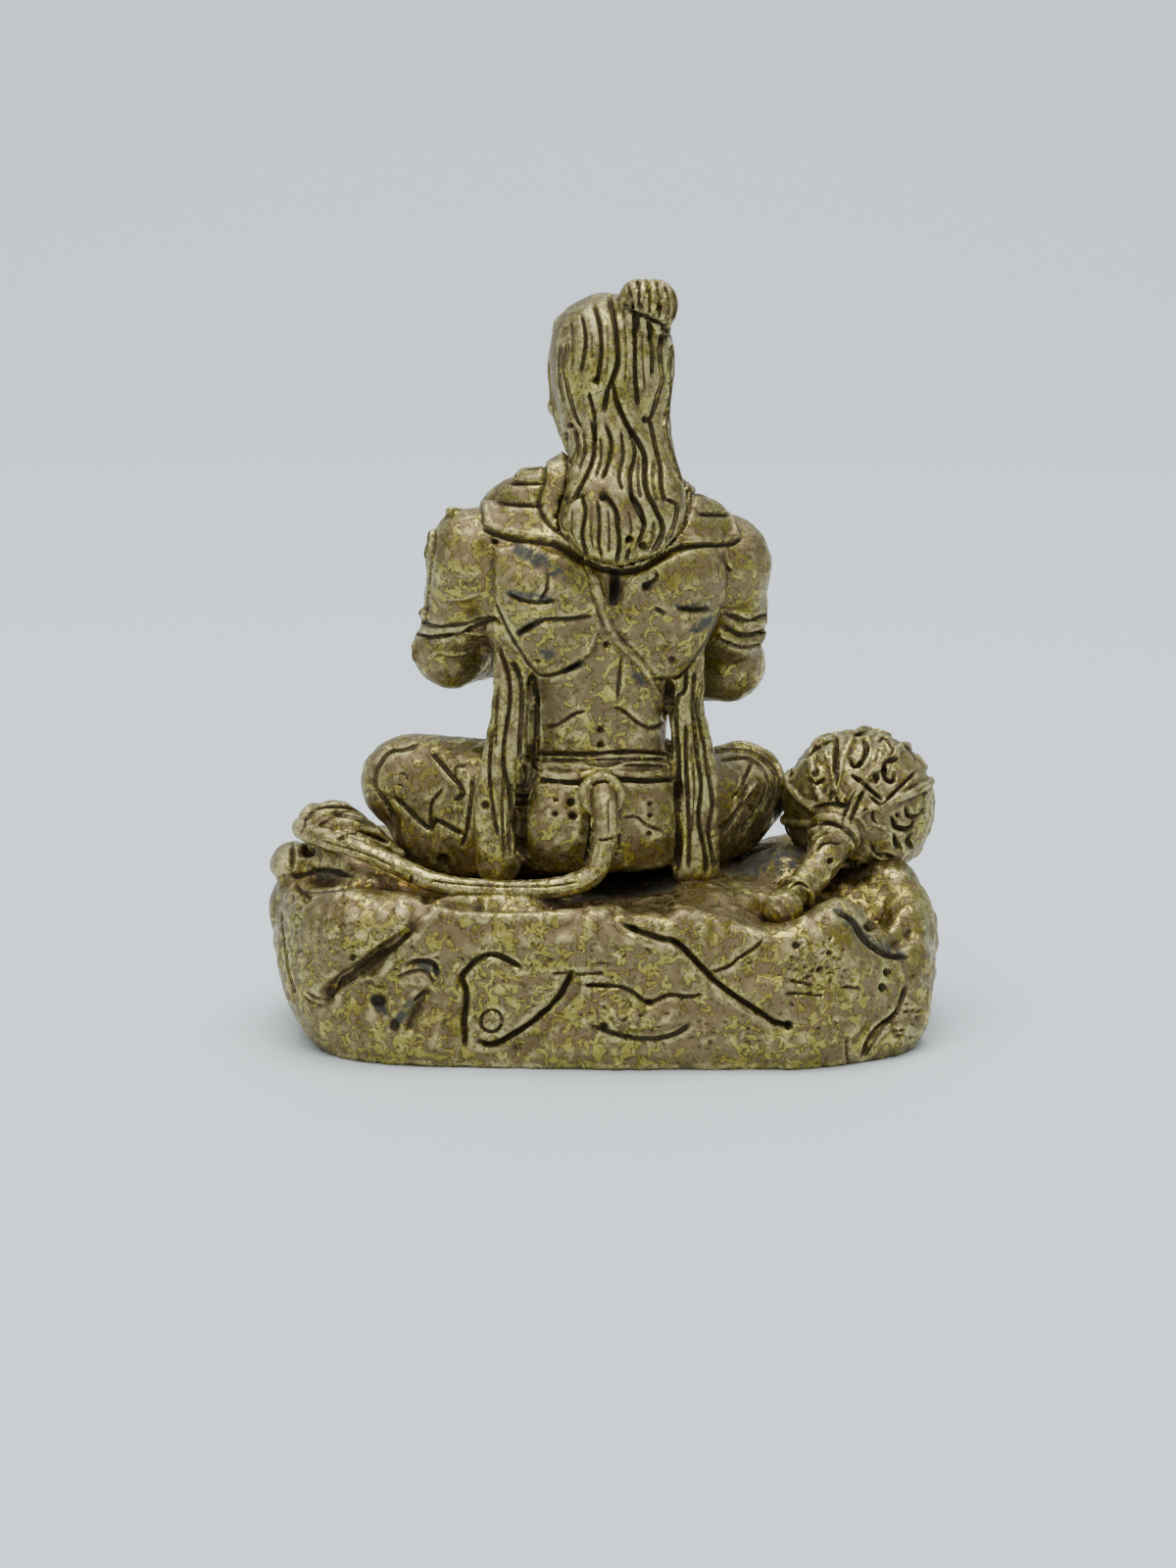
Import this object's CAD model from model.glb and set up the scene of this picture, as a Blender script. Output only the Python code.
"""A seated monkey-headed god on a rock, cast in brass: its fine carving, its aged finish and a plain studio.

Shapes are worked out in millimetres and laid into the frame in metres. The statue's own frame is the
CAD frame. The figure has a frame of its own, x to its left and y to its back, turned on the rock.
"""

import math

import bmesh
import bpy
import numpy as np
from mathutils import Euler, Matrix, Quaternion, Vector
from mathutils.bvhtree import BVHTree


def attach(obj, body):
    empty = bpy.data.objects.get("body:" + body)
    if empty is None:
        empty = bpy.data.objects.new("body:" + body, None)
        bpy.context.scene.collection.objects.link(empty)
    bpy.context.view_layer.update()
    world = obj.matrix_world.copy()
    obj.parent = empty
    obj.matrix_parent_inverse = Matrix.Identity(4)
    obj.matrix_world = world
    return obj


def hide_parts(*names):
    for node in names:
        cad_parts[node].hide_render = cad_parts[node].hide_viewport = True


bl_info = {
    "name": "Seated Brass Statue",
    "version": (1, 0, 0),
    "blender": (4, 5, 0),
    "location": "3D View > Sidebar > Statue",
    "description": "Carves the fine surface of a small brass casting and gives it an aged finish",
    "category": "Object",
}

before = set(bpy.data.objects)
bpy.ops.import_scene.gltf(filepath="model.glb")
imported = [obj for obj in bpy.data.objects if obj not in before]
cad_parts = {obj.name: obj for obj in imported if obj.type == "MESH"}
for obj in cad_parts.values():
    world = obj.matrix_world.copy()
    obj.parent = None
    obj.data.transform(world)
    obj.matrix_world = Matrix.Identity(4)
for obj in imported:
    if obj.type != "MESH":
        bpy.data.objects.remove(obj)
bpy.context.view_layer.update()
NODE = "hanuman_statue"
MM = 0.001

# Driving dimensions, in millimetres, the same as the solid's
ROCK = {"half_length": 15.7, "half_depth": 9.2, "top": 7.35, "corner": 3.0}
FIGURE = {"x": 0.58, "y": 0.15, "turn": 14.0}
SEAT_Z = 8.0
BELT_Z = 13.0
HEAD = {"x": -0.9, "y": -0.1, "z": 30.7, "half": (2.35, 2.75, 3.1)}
BUN = {"centre": (-2.05, 2.35, 33.75), "radius": 1.45}
KNEES = {1: (8.0, -2.8, 11.4), -1: (-8.1, -2.8, 10.3)}
SHOULDERS = {1: (5.7, 0.7, 22.2), -1: (-6.3, 0.7, 21.5)}
ELBOWS = {1: (6.3, -1.4, 17.8), -1: (-7.0, -1.4, 16.6)}
MACE = {"centre": (-12.15, -2.4, 9.95), "radius": 3.75, "ribs": 9}
LEFT, RIGHT = 1, -1

# The photograph's camera, which also says where a mark seen in it lies on the statue
PHOTO = {"width": 1200, "height": 1600, "lens": 85.0, "sensor": 36.0}
VIEW = {"distance": 173.0, "elevation": 11.0, "aim": (0.687, 0.0, 11.45)}
FOCAL = PHOTO["height"] * PHOTO["lens"] / PHOTO["sensor"]

FAR = 3.0
UP = (0.0, 0.0, 1.0)
TO_BACK = (0.0, 1.0, 0.0)
TO_FRONT = (0.0, -1.0, 0.0)


# Small helpers on points


def camera_axes():
    """The photograph's camera: its place, and the directions right, up and back towards it."""
    tilt = math.radians(VIEW["elevation"])
    back = np.array([0.0, math.cos(tilt), math.sin(tilt)])
    right = np.array([-1.0, 0.0, 0.0])
    up = np.cross(back, right)
    return np.array(VIEW["aim"]) + back * VIEW["distance"], right, up, back


def seen_at(x, y, z):
    """Where places of the statue's frame are in the photograph, in its pixels."""
    place, right, up, back = camera_axes()
    dx, dy, dz = x - place[0], y - place[1], z - place[2]
    depth = -(dx * back[0] + dy * back[1] + dz * back[2])
    across = FOCAL * (dx * right[0] + dy * right[1] + dz * right[2]) / depth
    above = FOCAL * (dx * up[0] + dy * up[1] + dz * up[2]) / depth
    return PHOTO["width"] / 2 + across, PHOTO["height"] / 2 - above


def sight_line(pixel):
    """The line from the photograph's camera through one of its pixels."""
    place, right, up, back = camera_axes()
    across = (pixel[0] - PHOTO["width"] / 2) / FOCAL
    above = (PHOTO["height"] / 2 - pixel[1]) / FOCAL
    return Vector(place), Vector(-back + right * across + up * above).normalized()


def smooth_path(points, count=0):
    """A Catmull-Rom path through the points, whatever columns they have."""
    rows = np.array(points, float)
    if len(rows) < 3:
        rows = np.array([rows[0], (rows[0] + rows[-1]) / 2, rows[-1]])
    count = count or 4 * len(rows)
    ends = np.vstack([2 * rows[0] - rows[1], rows, 2 * rows[-1] - rows[-2]])
    at = np.linspace(0, len(rows) - 1, count)
    first = np.minimum(at.astype(int), len(rows) - 2)
    t = (at - first)[:, None]
    a, b, c, d = (ends[first + k] for k in range(4))
    return 0.5 * (2 * b + (c - a) * t + (2 * a - 5 * b + 4 * c - d) * t**2 + (3 * b - a - 3 * c + d) * t**3)


def hill(distance, reach):
    return np.exp(-((distance / reach) ** 2))


def to_base(points):
    """Places of the figure's frame in the statue's frame."""
    points = np.atleast_2d(np.array(points, float))
    turn = math.radians(FIGURE["turn"])
    c, s = math.cos(turn), math.sin(turn)
    x = points[:, 0] * c - points[:, 1] * s + FIGURE["x"]
    y = points[:, 0] * s + points[:, 1] * c + FIGURE["y"]
    return np.stack([x, y, points[:, 2]], 1)


def mirrored(side, point):
    """A place on the figure's left, or its mirror image on the right."""
    return (side * point[0], point[1], point[2])


# Clay: shapes that are added, cut and marked in a block of space, then skinned


class Shape:
    """A body by its box and a function that gives the distance to its skin, negative inside."""

    def __init__(self, low, high, distance):
        self.low = np.array(low, float)
        self.high = np.array(high, float)
        self.distance = distance


def egg(centre, radii, turn=(0, 0, 0)):
    """An ellipsoid, turned by angles in degrees."""
    axes = np.array(Euler([math.radians(a) for a in turn]).to_matrix())
    radii = np.array(radii, float)
    half = np.sqrt(((axes * radii) ** 2).sum(1))
    centre = np.array(centre, float)

    def distance(x, y, z):
        near, steep = 0.0, 1e-9
        for i in range(3):
            along = axes[0, i] * (x - centre[0]) + axes[1, i] * (y - centre[1]) + axes[2, i] * (z - centre[2])
            near = near + (along / radii[i]) ** 2
            steep = steep + (along / radii[i] ** 2) ** 2
        near = np.sqrt(near)
        return near * (near - 1) / np.sqrt(steep)

    return Shape(centre - half, centre + half, distance)


def bone(path, radii, flat=None, count=0):
    """A round-ended limb on a smooth path, of a radius for each point. flat is a direction and the share
    of the width that the limb's thickness has that way."""
    radii = np.interp(np.linspace(0, 1, len(path)), np.linspace(0, 1, len(radii)), radii)
    rows = smooth_path([(*p, r) for p, r in zip(path, radii)], count)
    way, share = flat or (UP, 1.0)
    way = np.array(way, float) / np.linalg.norm(way)
    stretch = 1 / share - 1

    def distance(x, y, z):
        if stretch:
            along = (x * way[0] + y * way[1] + z * way[2]) * stretch
            x, y, z = x + along * way[0], y + along * way[1], z + along * way[2]
        best = None
        for a, b in zip(rows[:-1], rows[1:]):
            pa = a[:3] + way * (a[:3] @ way) * stretch
            pb = b[:3] + way * (b[:3] @ way) * stretch
            step = pb - pa
            size = max(step @ step, 1e-9)
            dx, dy, dz = x - pa[0], y - pa[1], z - pa[2]
            t = np.clip((dx * step[0] + dy * step[1] + dz * step[2]) / size, 0, 1)
            away = np.sqrt((dx - t * step[0]) ** 2 + (dy - t * step[1]) ** 2 + (dz - t * step[2]) ** 2)
            away = away - (a[3] + t * (b[3] - a[3]))
            best = away if best is None else np.minimum(best, away)
        return best * max(share, 0.6)

    reach = rows[:, 3:4]
    return Shape((rows[:, :3] - reach).min(0), (rows[:, :3] + reach).max(0), distance)


def loft(rows, power=2.3):
    """A body through level sections, each (z, x, y, half width, half depth)."""
    table = smooth_path(rows, 8 * len(rows))
    span = (table[0, 0], table[-1, 0])

    def distance(x, y, z):
        cx, cy, wide, deep = (np.interp(z, table[:, 0], table[:, k]) for k in range(1, 5))
        ring = (np.abs((x - cx) / wide) ** power + np.abs((y - cy) / deep) ** power) ** (1 / power)
        side = (ring - 1) * np.minimum(wide, deep)
        return np.maximum(side, np.maximum(span[0] - z, z - span[1]))

    half = table[:, 3:5].max(0)
    middle = table[:, 1:3]
    return Shape((*(middle.min(0) - half), span[0]), (*(middle.max(0) + half), span[1]), distance)


class Clay:
    """A block of space that shapes are added to and cut from. figure says whose frame it is in."""

    def __init__(self, low, high, grain, figure=False):
        self.grain = grain
        self.low = np.array(low, float)
        self.figure = figure
        count = np.ceil((np.array(high) - self.low) / grain).astype(int) + 1
        self.axes = [self.low[i] + grain * np.arange(count[i]) for i in range(3)]
        self.field = np.full(count, FAR, np.float32)

    def window(self, low, high, margin):
        """The part of the block inside a box, and its x, y and z."""
        start = np.floor((np.array(low) - margin - self.low) / self.grain).astype(int)
        stop = np.ceil((np.array(high) + margin - self.low) / self.grain).astype(int) + 1
        start = np.clip(start, 0, self.field.shape)
        stop = np.clip(stop, start, self.field.shape)
        part = tuple(slice(a, b) for a, b in zip(start, stop))
        x, y, z = (axis[s] for axis, s in zip(self.axes, part))
        return part, x[:, None, None], y[None, :, None], z[None, None, :]

    def add(self, shape, blend=0.3):
        """Joins a shape, with a fillet about as wide as blend."""
        part, x, y, z = self.window(shape.low, shape.high, blend + 0.4)
        here = self.field[part]
        new = shape.distance(x, y, z)
        mix = np.clip(0.5 + 0.5 * (new - here) / blend, 0, 1)
        self.field[part] = new * (1 - mix) + here * mix - blend * mix * (1 - mix)

    def cut(self, shape, blend=0.15):
        """Takes a shape away, with its rim rounded."""
        part, x, y, z = self.window(shape.low, shape.high, blend + 0.4)
        here = self.field[part]
        new = -shape.distance(x, y, z)
        mix = np.clip(0.5 - 0.5 * (new - here) / blend, 0, 1)
        self.field[part] = new * (1 - mix) + here * mix + blend * mix * (1 - mix)

    def roughen(self, wavelength, depth, seed, ridged=False):
        """Makes the skin uneven, in waves of a size in mm."""
        self.field += (cloud(self.axes, wavelength, seed, ridged) * depth).astype(np.float32)

    def mesh(self):
        """The skin as points and quads, in the statue's frame."""
        closed = np.full(np.array(self.field.shape) + 2, FAR, np.float32)
        closed[1:-1, 1:-1, 1:-1] = self.field
        points, quads = surface_net(closed)
        points = points - 1
        points = self.low + points * self.grain
        return (to_base(points) if self.figure else points), quads


class Marks:
    """Lines, swells and pits for a skin. Places are pixels of the photograph, or millimetres on the far
    side, and widths are in the same unit. Depths are in millimetres and below 0 where the skin rises."""

    def __init__(self, u, v, reached):
        self.u = u
        self.v = v
        self.reached = reached
        self.push = np.zeros(len(u))
        self.ink = np.zeros(len(u))
        self.film = np.zeros(len(u))

    def around(self, track, margin):
        low, high = track.min(0) - margin, track.max(0) + margin
        inside = (self.u > low[0]) & (self.u < high[0]) & (self.v > low[1]) & (self.v < high[1])
        return np.nonzero(inside & self.reached)[0]

    def distances(self, track, at):
        """Distance to a track, and how far along it the nearest place is."""
        u, v = self.u[at], self.v[at]
        best = np.full(len(at), 1e9)
        along = np.zeros(len(at))
        gone = 0.0
        for a, b in zip(track[:-1], track[1:]):
            step = b - a
            size = max(step @ step, 1e-9)
            t = np.clip(((u - a[0]) * step[0] + (v - a[1]) * step[1]) / size, 0, 1)
            away = np.hypot(u - a[0] - t * step[0], v - a[1] - t * step[1])
            closer = away < best
            best = np.where(closer, away, best)
            along = np.where(closer, gone + t * math.sqrt(size), along)
            gone += math.sqrt(size)
        return best, along, gone

    def line(self, path, width, depth, flank=0.0):
        """A cut line that thins out at its ends. flank is the share of its depth that slopes off wide."""
        track = smooth_path(path, 5 * len(path)) if len(path) > 2 else np.array(path, float)
        at = self.around(track, width * (8 if flank else 3))
        away, along, total = self.distances(track, at)
        ends = np.clip(np.minimum(along, total - along) / (3 * width), 0, 1)
        core = np.exp(-((away / width) ** 2)) * (0.35 + 0.65 * ends)
        slope = np.exp(-away / (2.4 * width)) * (0.35 + 0.65 * ends)
        self.push[at] += depth * ((1 - flank) * core + flank * slope)
        self.ink[at] = np.maximum(self.ink[at], core * min(1, max(depth, 0) / 0.2))

    def swell(self, path, width, height):
        """A broad rise along a path, or a hollow where the height is below 0."""
        track = smooth_path(path, 4 * len(path)) if len(path) > 2 else np.array(path, float)
        at = self.around(track, 3 * width)
        away, _, _ = self.distances(track, at)
        self.push[at] -= height * np.exp(-((away / width) ** 2))

    def pit(self, place, radius, depth):
        track = np.array([place, (place[0] + 0.01, place[1])], float)
        at = self.around(track, 4 * radius)
        away, _, _ = self.distances(track, at)
        shape = 1 / (1 + (away / radius) ** 4)
        self.push[at] += depth * shape
        self.ink[at] = np.maximum(self.ink[at], shape * min(1, depth / 0.2))

    def stain(self, path, radius, strength):
        """A patch of dark film along a path."""
        track = np.array(path, float)
        at = self.around(track, 3 * radius)
        away, _, _ = self.distances(track, at)
        self.film[at] = np.maximum(self.film[at], strength * np.exp(-((away / radius) ** 2)))

    def patch(self, outline, depth, edge):
        """Lowers all inside an outline, or raises it where the depth is below 0."""
        track = np.array(outline, float)
        at = self.around(track, 3 * edge)
        u, v = self.u[at], self.v[at]
        inside = np.zeros(len(at), bool)
        for a, b in zip(track, np.roll(track, -1, 0)):
            rise = b[1] - a[1]
            crosses = (a[1] > v) != (b[1] > v)
            inside ^= crosses & (u < a[0] + (v - a[1]) / (rise or 1e-9) * (b[0] - a[0]))
        away, _, _ = self.distances(np.vstack([track, track[:1]]), at)
        signed = np.where(inside, away, -away)
        self.push[at] += depth / (1 + np.exp(-3 * signed / edge))


class Sight:
    """What the photograph's camera can see of the whole casting."""

    CELL = 3.0

    def __init__(self, points):
        u, v = seen_at(*points.T)
        self.near = np.full((PHOTO["height"] // 3 + 2, PHOTO["width"] // 3 + 2), 1e9)
        row, column = self.cells(u, v)
        np.minimum.at(self.near, (row, column), self.depth(points))

    def cells(self, u, v):
        row = np.clip(v / self.CELL, 0, self.near.shape[0] - 1).astype(int)
        column = np.clip(u / self.CELL, 0, self.near.shape[1] - 1).astype(int)
        return row, column

    def depth(self, points):
        place, _, _, back = camera_axes()
        return (place - points) @ back

    def marks(self, points, normals):
        """Marks for a skin's visible places, in the photograph's pixels."""
        place, _, _, back = camera_axes()
        u, v = seen_at(*points.T)
        shown = self.depth(points) < self.near[self.cells(u, v)] + 0.8
        return Marks(u, v, shown & (normals @ back > 0.08))


def front_marks(points, normals):
    """Marks for the side away from the camera, in millimetres across and up."""
    return Marks(points[:, 0], points[:, 2], normals[:, 1] < -0.3)


def cloud(axes, wavelength, seed, ridged=False):
    """Smooth random values from -1 to 1 over a block of space."""
    random = np.random.default_rng(seed)
    spans = [axis[-1] - axis[0] for axis in axes]
    lattice = random.uniform(-1, 1, [int(span / wavelength) + 3 for span in spans])
    for k, axis in enumerate(axes):
        at = (axis - axis[0]) / wavelength
        first = at.astype(int)
        t = at - first
        t = t * t * (3 - 2 * t)
        weights = np.zeros((len(axis), lattice.shape[k]))
        weights[np.arange(len(axis)), first] = 1 - t
        weights[np.arange(len(axis)), first + 1] = t
        lattice = np.moveaxis(np.tensordot(weights, lattice, (1, k)), 0, k)
    return (1 - 2 * np.abs(lattice)) if ridged else lattice


def surface_net(field):
    """Points, in grid steps, and quads of the skin where a field changes sign."""
    inside = field < 0
    shape = np.array(field.shape) - 1
    count = np.zeros(shape, np.int8)
    corners = [(i, j, k) for i in (0, 1) for j in (0, 1) for k in (0, 1)]
    for i, j, k in corners:
        count += inside[i : i + shape[0], j : j + shape[1], k : k + shape[2]]
    cells = np.argwhere((count > 0) & (count < 8))
    number = np.full(shape, -1, np.int64)
    number[tuple(cells.T)] = np.arange(len(cells))
    total = np.zeros((len(cells), 3))
    hits = np.zeros(len(cells))
    for a in corners:
        for axis in range(3):
            if a[axis]:
                continue
            b = tuple(v + (k == axis) for k, v in enumerate(a))
            fa = field[tuple((cells + a).T)].astype(float)
            fb = field[tuple((cells + b).T)].astype(float)
            cross = (fa < 0) != (fb < 0)
            t = np.where(cross, fa / np.where(cross, fa - fb, 1), 0)
            place = np.array(a, float) + t[:, None] * (np.array(b) - np.array(a))
            total += np.where(cross[:, None], place, 0)
            hits += cross
    points = cells + total / hits[:, None]
    quads = []
    for axis in range(3):
        u, v = (axis + 1) % 3, (axis + 2) % 3
        low = [slice(1, -1)] * 3
        low[axis] = slice(0, -1)
        high = list(low)
        high[axis] = slice(1, None)
        a, b = inside[tuple(low)], inside[tuple(high)]
        for flip, mask in ((False, a & ~b), (True, ~a & b)):
            at = np.argwhere(mask)
            at[:, u] += 1
            at[:, v] += 1
            ring = []
            for du, dv in ((0, 0), (-1, 0), (-1, -1), (0, -1)):
                cell = at.copy()
                cell[:, u] += du
                cell[:, v] += dv
                ring.append(number[tuple(cell.T)])
            ring = np.stack(ring, 1)
            quads.append(ring[:, ::-1] if flip else ring)
    return points, np.vstack(quads)


# Forms: the rough meshes in millimetres that one casting is made from

FORMS = []


def new_mesh(name, points, faces):
    mesh = bpy.data.meshes.new(name)
    mesh.from_pydata([tuple(p) for p in points], [], [tuple(int(i) for i in f) for f in faces])
    mesh.update()
    return mesh


def keep_form(piece, name, points, faces):
    """Keeps a closed mesh as one of the forms that a piece is made from."""
    FORMS.append((piece, name, np.array(points, float), np.array(faces)))


def form_tree(*names):
    """The forms with these names as one body that lines of sight can meet."""
    points, faces, start = [], [], 0
    for _, name, p, f in FORMS:
        if name in names:
            points += [tuple(v) for v in p]
            faces += [tuple(int(i) + start for i in q) for q in f]
            start += len(p)
    return BVHTree.FromPolygons(points, faces)


def laid_on(tree, pixels, lift=0.0):
    """Places on a body where the photograph shows these pixels, raised towards the camera."""
    found = []
    for pixel in pixels:
        eye, way = sight_line(pixel)
        hit = tree.ray_cast(eye, way)[0]
        if hit is None:
            hit = tree.find_nearest(eye + way * VIEW["distance"])[0]
        found.append(np.array(hit - way * lift))
    return found


# Node trees for what follows a path or repeats


def add_node(tree, kind, settings=None, inputs=None, links=None):
    """Adds a node to a tree with its settings, its input values and its links from other sockets."""
    node = tree.nodes.new(kind)
    for key, value in (settings or {}).items():
        setattr(node, key, value)
    for key, value in (inputs or {}).items():
        node.inputs[key].default_value = value
    for key, socket in (links or {}).items():
        tree.links.new(socket, node.inputs[key])
    return node


def geometry_tree(name, sizes):
    """An empty tree with a geometry input and named number inputs, each (name, kind, default)."""
    tree = bpy.data.node_groups.new(name, "GeometryNodeTree")
    tree.is_modifier = True
    tree.interface.new_socket("Geometry", in_out="INPUT", socket_type="NodeSocketGeometry")
    tree.interface.new_socket("Geometry", in_out="OUTPUT", socket_type="NodeSocketGeometry")
    for label, kind, default in sizes:
        socket = tree.interface.new_socket(label, in_out="INPUT", socket_type="NodeSocket" + kind)
        socket.default_value = default
    socket = tree.interface.new_socket("Material", in_out="INPUT", socket_type="NodeSocketMaterial")
    return tree, add_node(tree, "NodeGroupInput")


def finish_tree(tree, given, geometry):
    """Ends a tree with real geometry in the material that was given."""
    real = add_node(tree, "GeometryNodeRealizeInstances", links={"Geometry": geometry})
    coated = add_node(
        tree,
        "GeometryNodeSetMaterial",
        links={"Geometry": real.outputs["Geometry"], "Material": given.outputs["Material"]},
    )
    add_node(tree, "NodeGroupOutput", links={"Geometry": coated.outputs["Geometry"]})
    return tree


def strand_tree():
    """Round strands along curves, as thick as each curve point's radius."""
    tree, given = geometry_tree("Round strands", [("Spacing", "Float", 0.25), ("Sides", "Int", 8)])
    even = add_node(
        tree,
        "GeometryNodeResampleCurve",
        {"mode": "LENGTH"},
        links={"Curve": given.outputs["Geometry"], "Length": given.outputs["Spacing"]},
    )
    section = add_node(
        tree,
        "GeometryNodeCurvePrimitiveCircle",
        inputs={"Radius": 1.0},
        links={"Resolution": given.outputs["Sides"]},
    )
    thickness = add_node(tree, "GeometryNodeInputRadius")
    tube = add_node(
        tree,
        "GeometryNodeCurveToMesh",
        inputs={"Fill Caps": True},
        links={
            "Curve": even.outputs["Curve"],
            "Profile Curve": section.outputs["Curve"],
            "Scale": thickness.outputs["Radius"],
        },
    )
    return finish_tree(tree, given, tube.outputs["Mesh"])


def bead_tree():
    """Beads on a string: round beads at even steps along a curve."""
    tree, given = geometry_tree("Beads on a string", [("Spacing", "Float", 0.6), ("Bead radius", "Float", 0.3)])
    places = add_node(
        tree,
        "GeometryNodeCurveToPoints",
        {"mode": "LENGTH"},
        links={"Curve": given.outputs["Geometry"], "Length": given.outputs["Spacing"]},
    )
    bead = add_node(
        tree,
        "GeometryNodeMeshIcoSphere",
        inputs={"Subdivisions": 2},
        links={"Radius": given.outputs["Bead radius"]},
    )
    strung = add_node(
        tree,
        "GeometryNodeInstanceOnPoints",
        links={"Points": places.outputs["Points"], "Instance": bead.outputs["Mesh"]},
    )
    return finish_tree(tree, given, strung.outputs["Instances"])


def rib_tree():
    """Ribs of a ball: one meridian swept round and repeated about the ball's axis."""
    tree, given = geometry_tree(
        "Ribs of a ball",
        [("Ribs", "Int", 9), ("Ball radius", "Float", 3.75), ("Rib radius", "Float", 0.2), ("Start", "Float", 0.0)],
    )
    arc = add_node(
        tree,
        "GeometryNodeCurveArc",
        {"mode": "RADIUS"},
        inputs={"Resolution": 32, "Start Angle": math.radians(-72), "Sweep Angle": math.radians(144)},
        links={"Radius": given.outputs["Ball radius"]},
    )
    section = add_node(
        tree,
        "GeometryNodeCurvePrimitiveCircle",
        inputs={"Resolution": 8},
        links={"Radius": given.outputs["Rib radius"]},
    )
    rib = add_node(
        tree,
        "GeometryNodeCurveToMesh",
        inputs={"Fill Caps": True},
        links={"Curve": arc.outputs["Curve"], "Profile Curve": section.outputs["Curve"]},
    )
    points = add_node(tree, "GeometryNodePoints", links={"Count": given.outputs["Ribs"]})
    index = add_node(tree, "GeometryNodeInputIndex")
    share = add_node(
        tree,
        "ShaderNodeMath",
        {"operation": "DIVIDE"},
        links={0: index.outputs["Index"], 1: given.outputs["Ribs"]},
    )
    angle = add_node(
        tree,
        "ShaderNodeMath",
        {"operation": "MULTIPLY_ADD"},
        inputs={1: MACE_RIB_TURN},
        links={0: share.outputs[0], 2: given.outputs["Start"]},
    )
    turn = add_node(tree, "ShaderNodeCombineXYZ", links={"Y": angle.outputs[0]})
    spun = add_node(
        tree,
        "GeometryNodeInstanceOnPoints",
        links={
            "Points": points.outputs["Geometry"],
            "Instance": rib.outputs["Mesh"],
            "Rotation": turn.outputs["Vector"],
        },
    )
    return finish_tree(tree, given, spun.outputs["Instances"])


TREES = {}


def grown(piece, name, source, tree_maker, sizes):
    """Runs a node tree on an object and keeps the result as a form of a piece."""
    if tree_maker not in TREES:
        TREES[tree_maker] = tree_maker()
    tree = TREES[tree_maker]
    bpy.context.scene.collection.objects.link(source)
    modifier = source.modifiers.new(name, "NODES")
    modifier.node_group = tree
    for item in tree.interface.items_tree:
        if item.in_out == "INPUT" and item.name in sizes:
            modifier[item.identifier] = sizes[item.name]
    bpy.context.view_layer.update()
    depsgraph = bpy.context.evaluated_depsgraph_get()
    mesh = bpy.data.meshes.new_from_object(source.evaluated_get(depsgraph))
    source.modifiers.remove(modifier)
    bm = bmesh.new()
    bm.from_mesh(mesh)
    bmesh.ops.triangulate(bm, faces=bm.faces)
    points = [tuple(v.co) for v in bm.verts]
    faces = [[v.index for v in f.verts] for f in bm.faces]
    bm.free()
    bpy.data.meshes.remove(mesh)
    bpy.data.objects.remove(source)
    keep_form(piece, name, points, faces)


def curve_object(name, paths):
    """A curve object with one spline for each path of (x, y, z, radius) rows."""
    curve = bpy.data.curves.new(name, "CURVE")
    curve.dimensions = "3D"
    for path in paths:
        rows = smooth_path(path)
        spline = curve.splines.new("POLY")
        spline.points.add(len(rows) - 1)
        for point, row in zip(spline.points, rows):
            point.co = (*row[:3], 1)
            point.radius = max(row[3], 0.03)
    return bpy.data.objects.new(name, curve)


def strands(piece, name, paths, spacing=0.22, sides=8):
    grown(piece, name, curve_object(name, paths), strand_tree, {"Spacing": spacing, "Sides": sides})


def beads(piece, name, paths, spacing, radius):
    rows = [[(*p, 1.0) for p in path] for path in paths]
    grown(piece, name, curve_object(name, rows), bead_tree, {"Spacing": spacing, "Bead radius": radius})


def tapered(places, radius, start=0.5, end=0.4, full=0.2):
    """A radius for each place of a path, full in its middle and thinner at its ends."""
    count = len(places)
    at = np.linspace(0, 1, count)
    size = radius * np.interp(at, [0, full, 1 - full, 1], [start, 1, 1, end])
    return [(*p, r) for p, r in zip(places, size)]


# The rock

TOP_LUMPS = [
    (15.2, 0.5, 1.6, 2.2),
    (10.0, -5.5, 0.7, 3.0),
    (-1.5, 6.0, -0.6, 2.6),
    (-6.5, 8.0, -0.9, 2.8),
    (-8.4, 5.4, -0.8, 1.7),
    (-10.8, 6.2, 0.7, 1.7),
    (-15.3, 6.6, -3.6, 2.9),
    (-12.0, 3.2, -1.9, 1.7),
    (-15.2, -4.5, -1.6, 3.2),
    (-5.0, -8.5, -0.8, 3.0),
    (3.0, -8.8, 0.5, 2.6),
]
WALL_SWELLS = [
    (11.4, 1, 5.4, 0.55, 2.4),
    (10.6, 1, 3.4, -0.75, 1.4),
    (9.3, 1, 1.6, 0.35, 1.5),
    (3.7, 1, 2.7, -0.3, 1.8),
    (-1.0, 1, 5.6, 0.3, 3.0),
    (-10.5, 1, 2.4, 0.4, 3.4),
    (12.0, -1, 2.0, 0.5, 2.6),
    (5.5, -1, 3.4, -0.6, 1.6),
    (0.5, -1, 2.6, 0.5, 2.6),
    (-5.5, -1, 4.2, -0.5, 1.7),
    (-10.5, -1, 3.0, 0.5, 2.8),
]


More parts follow.
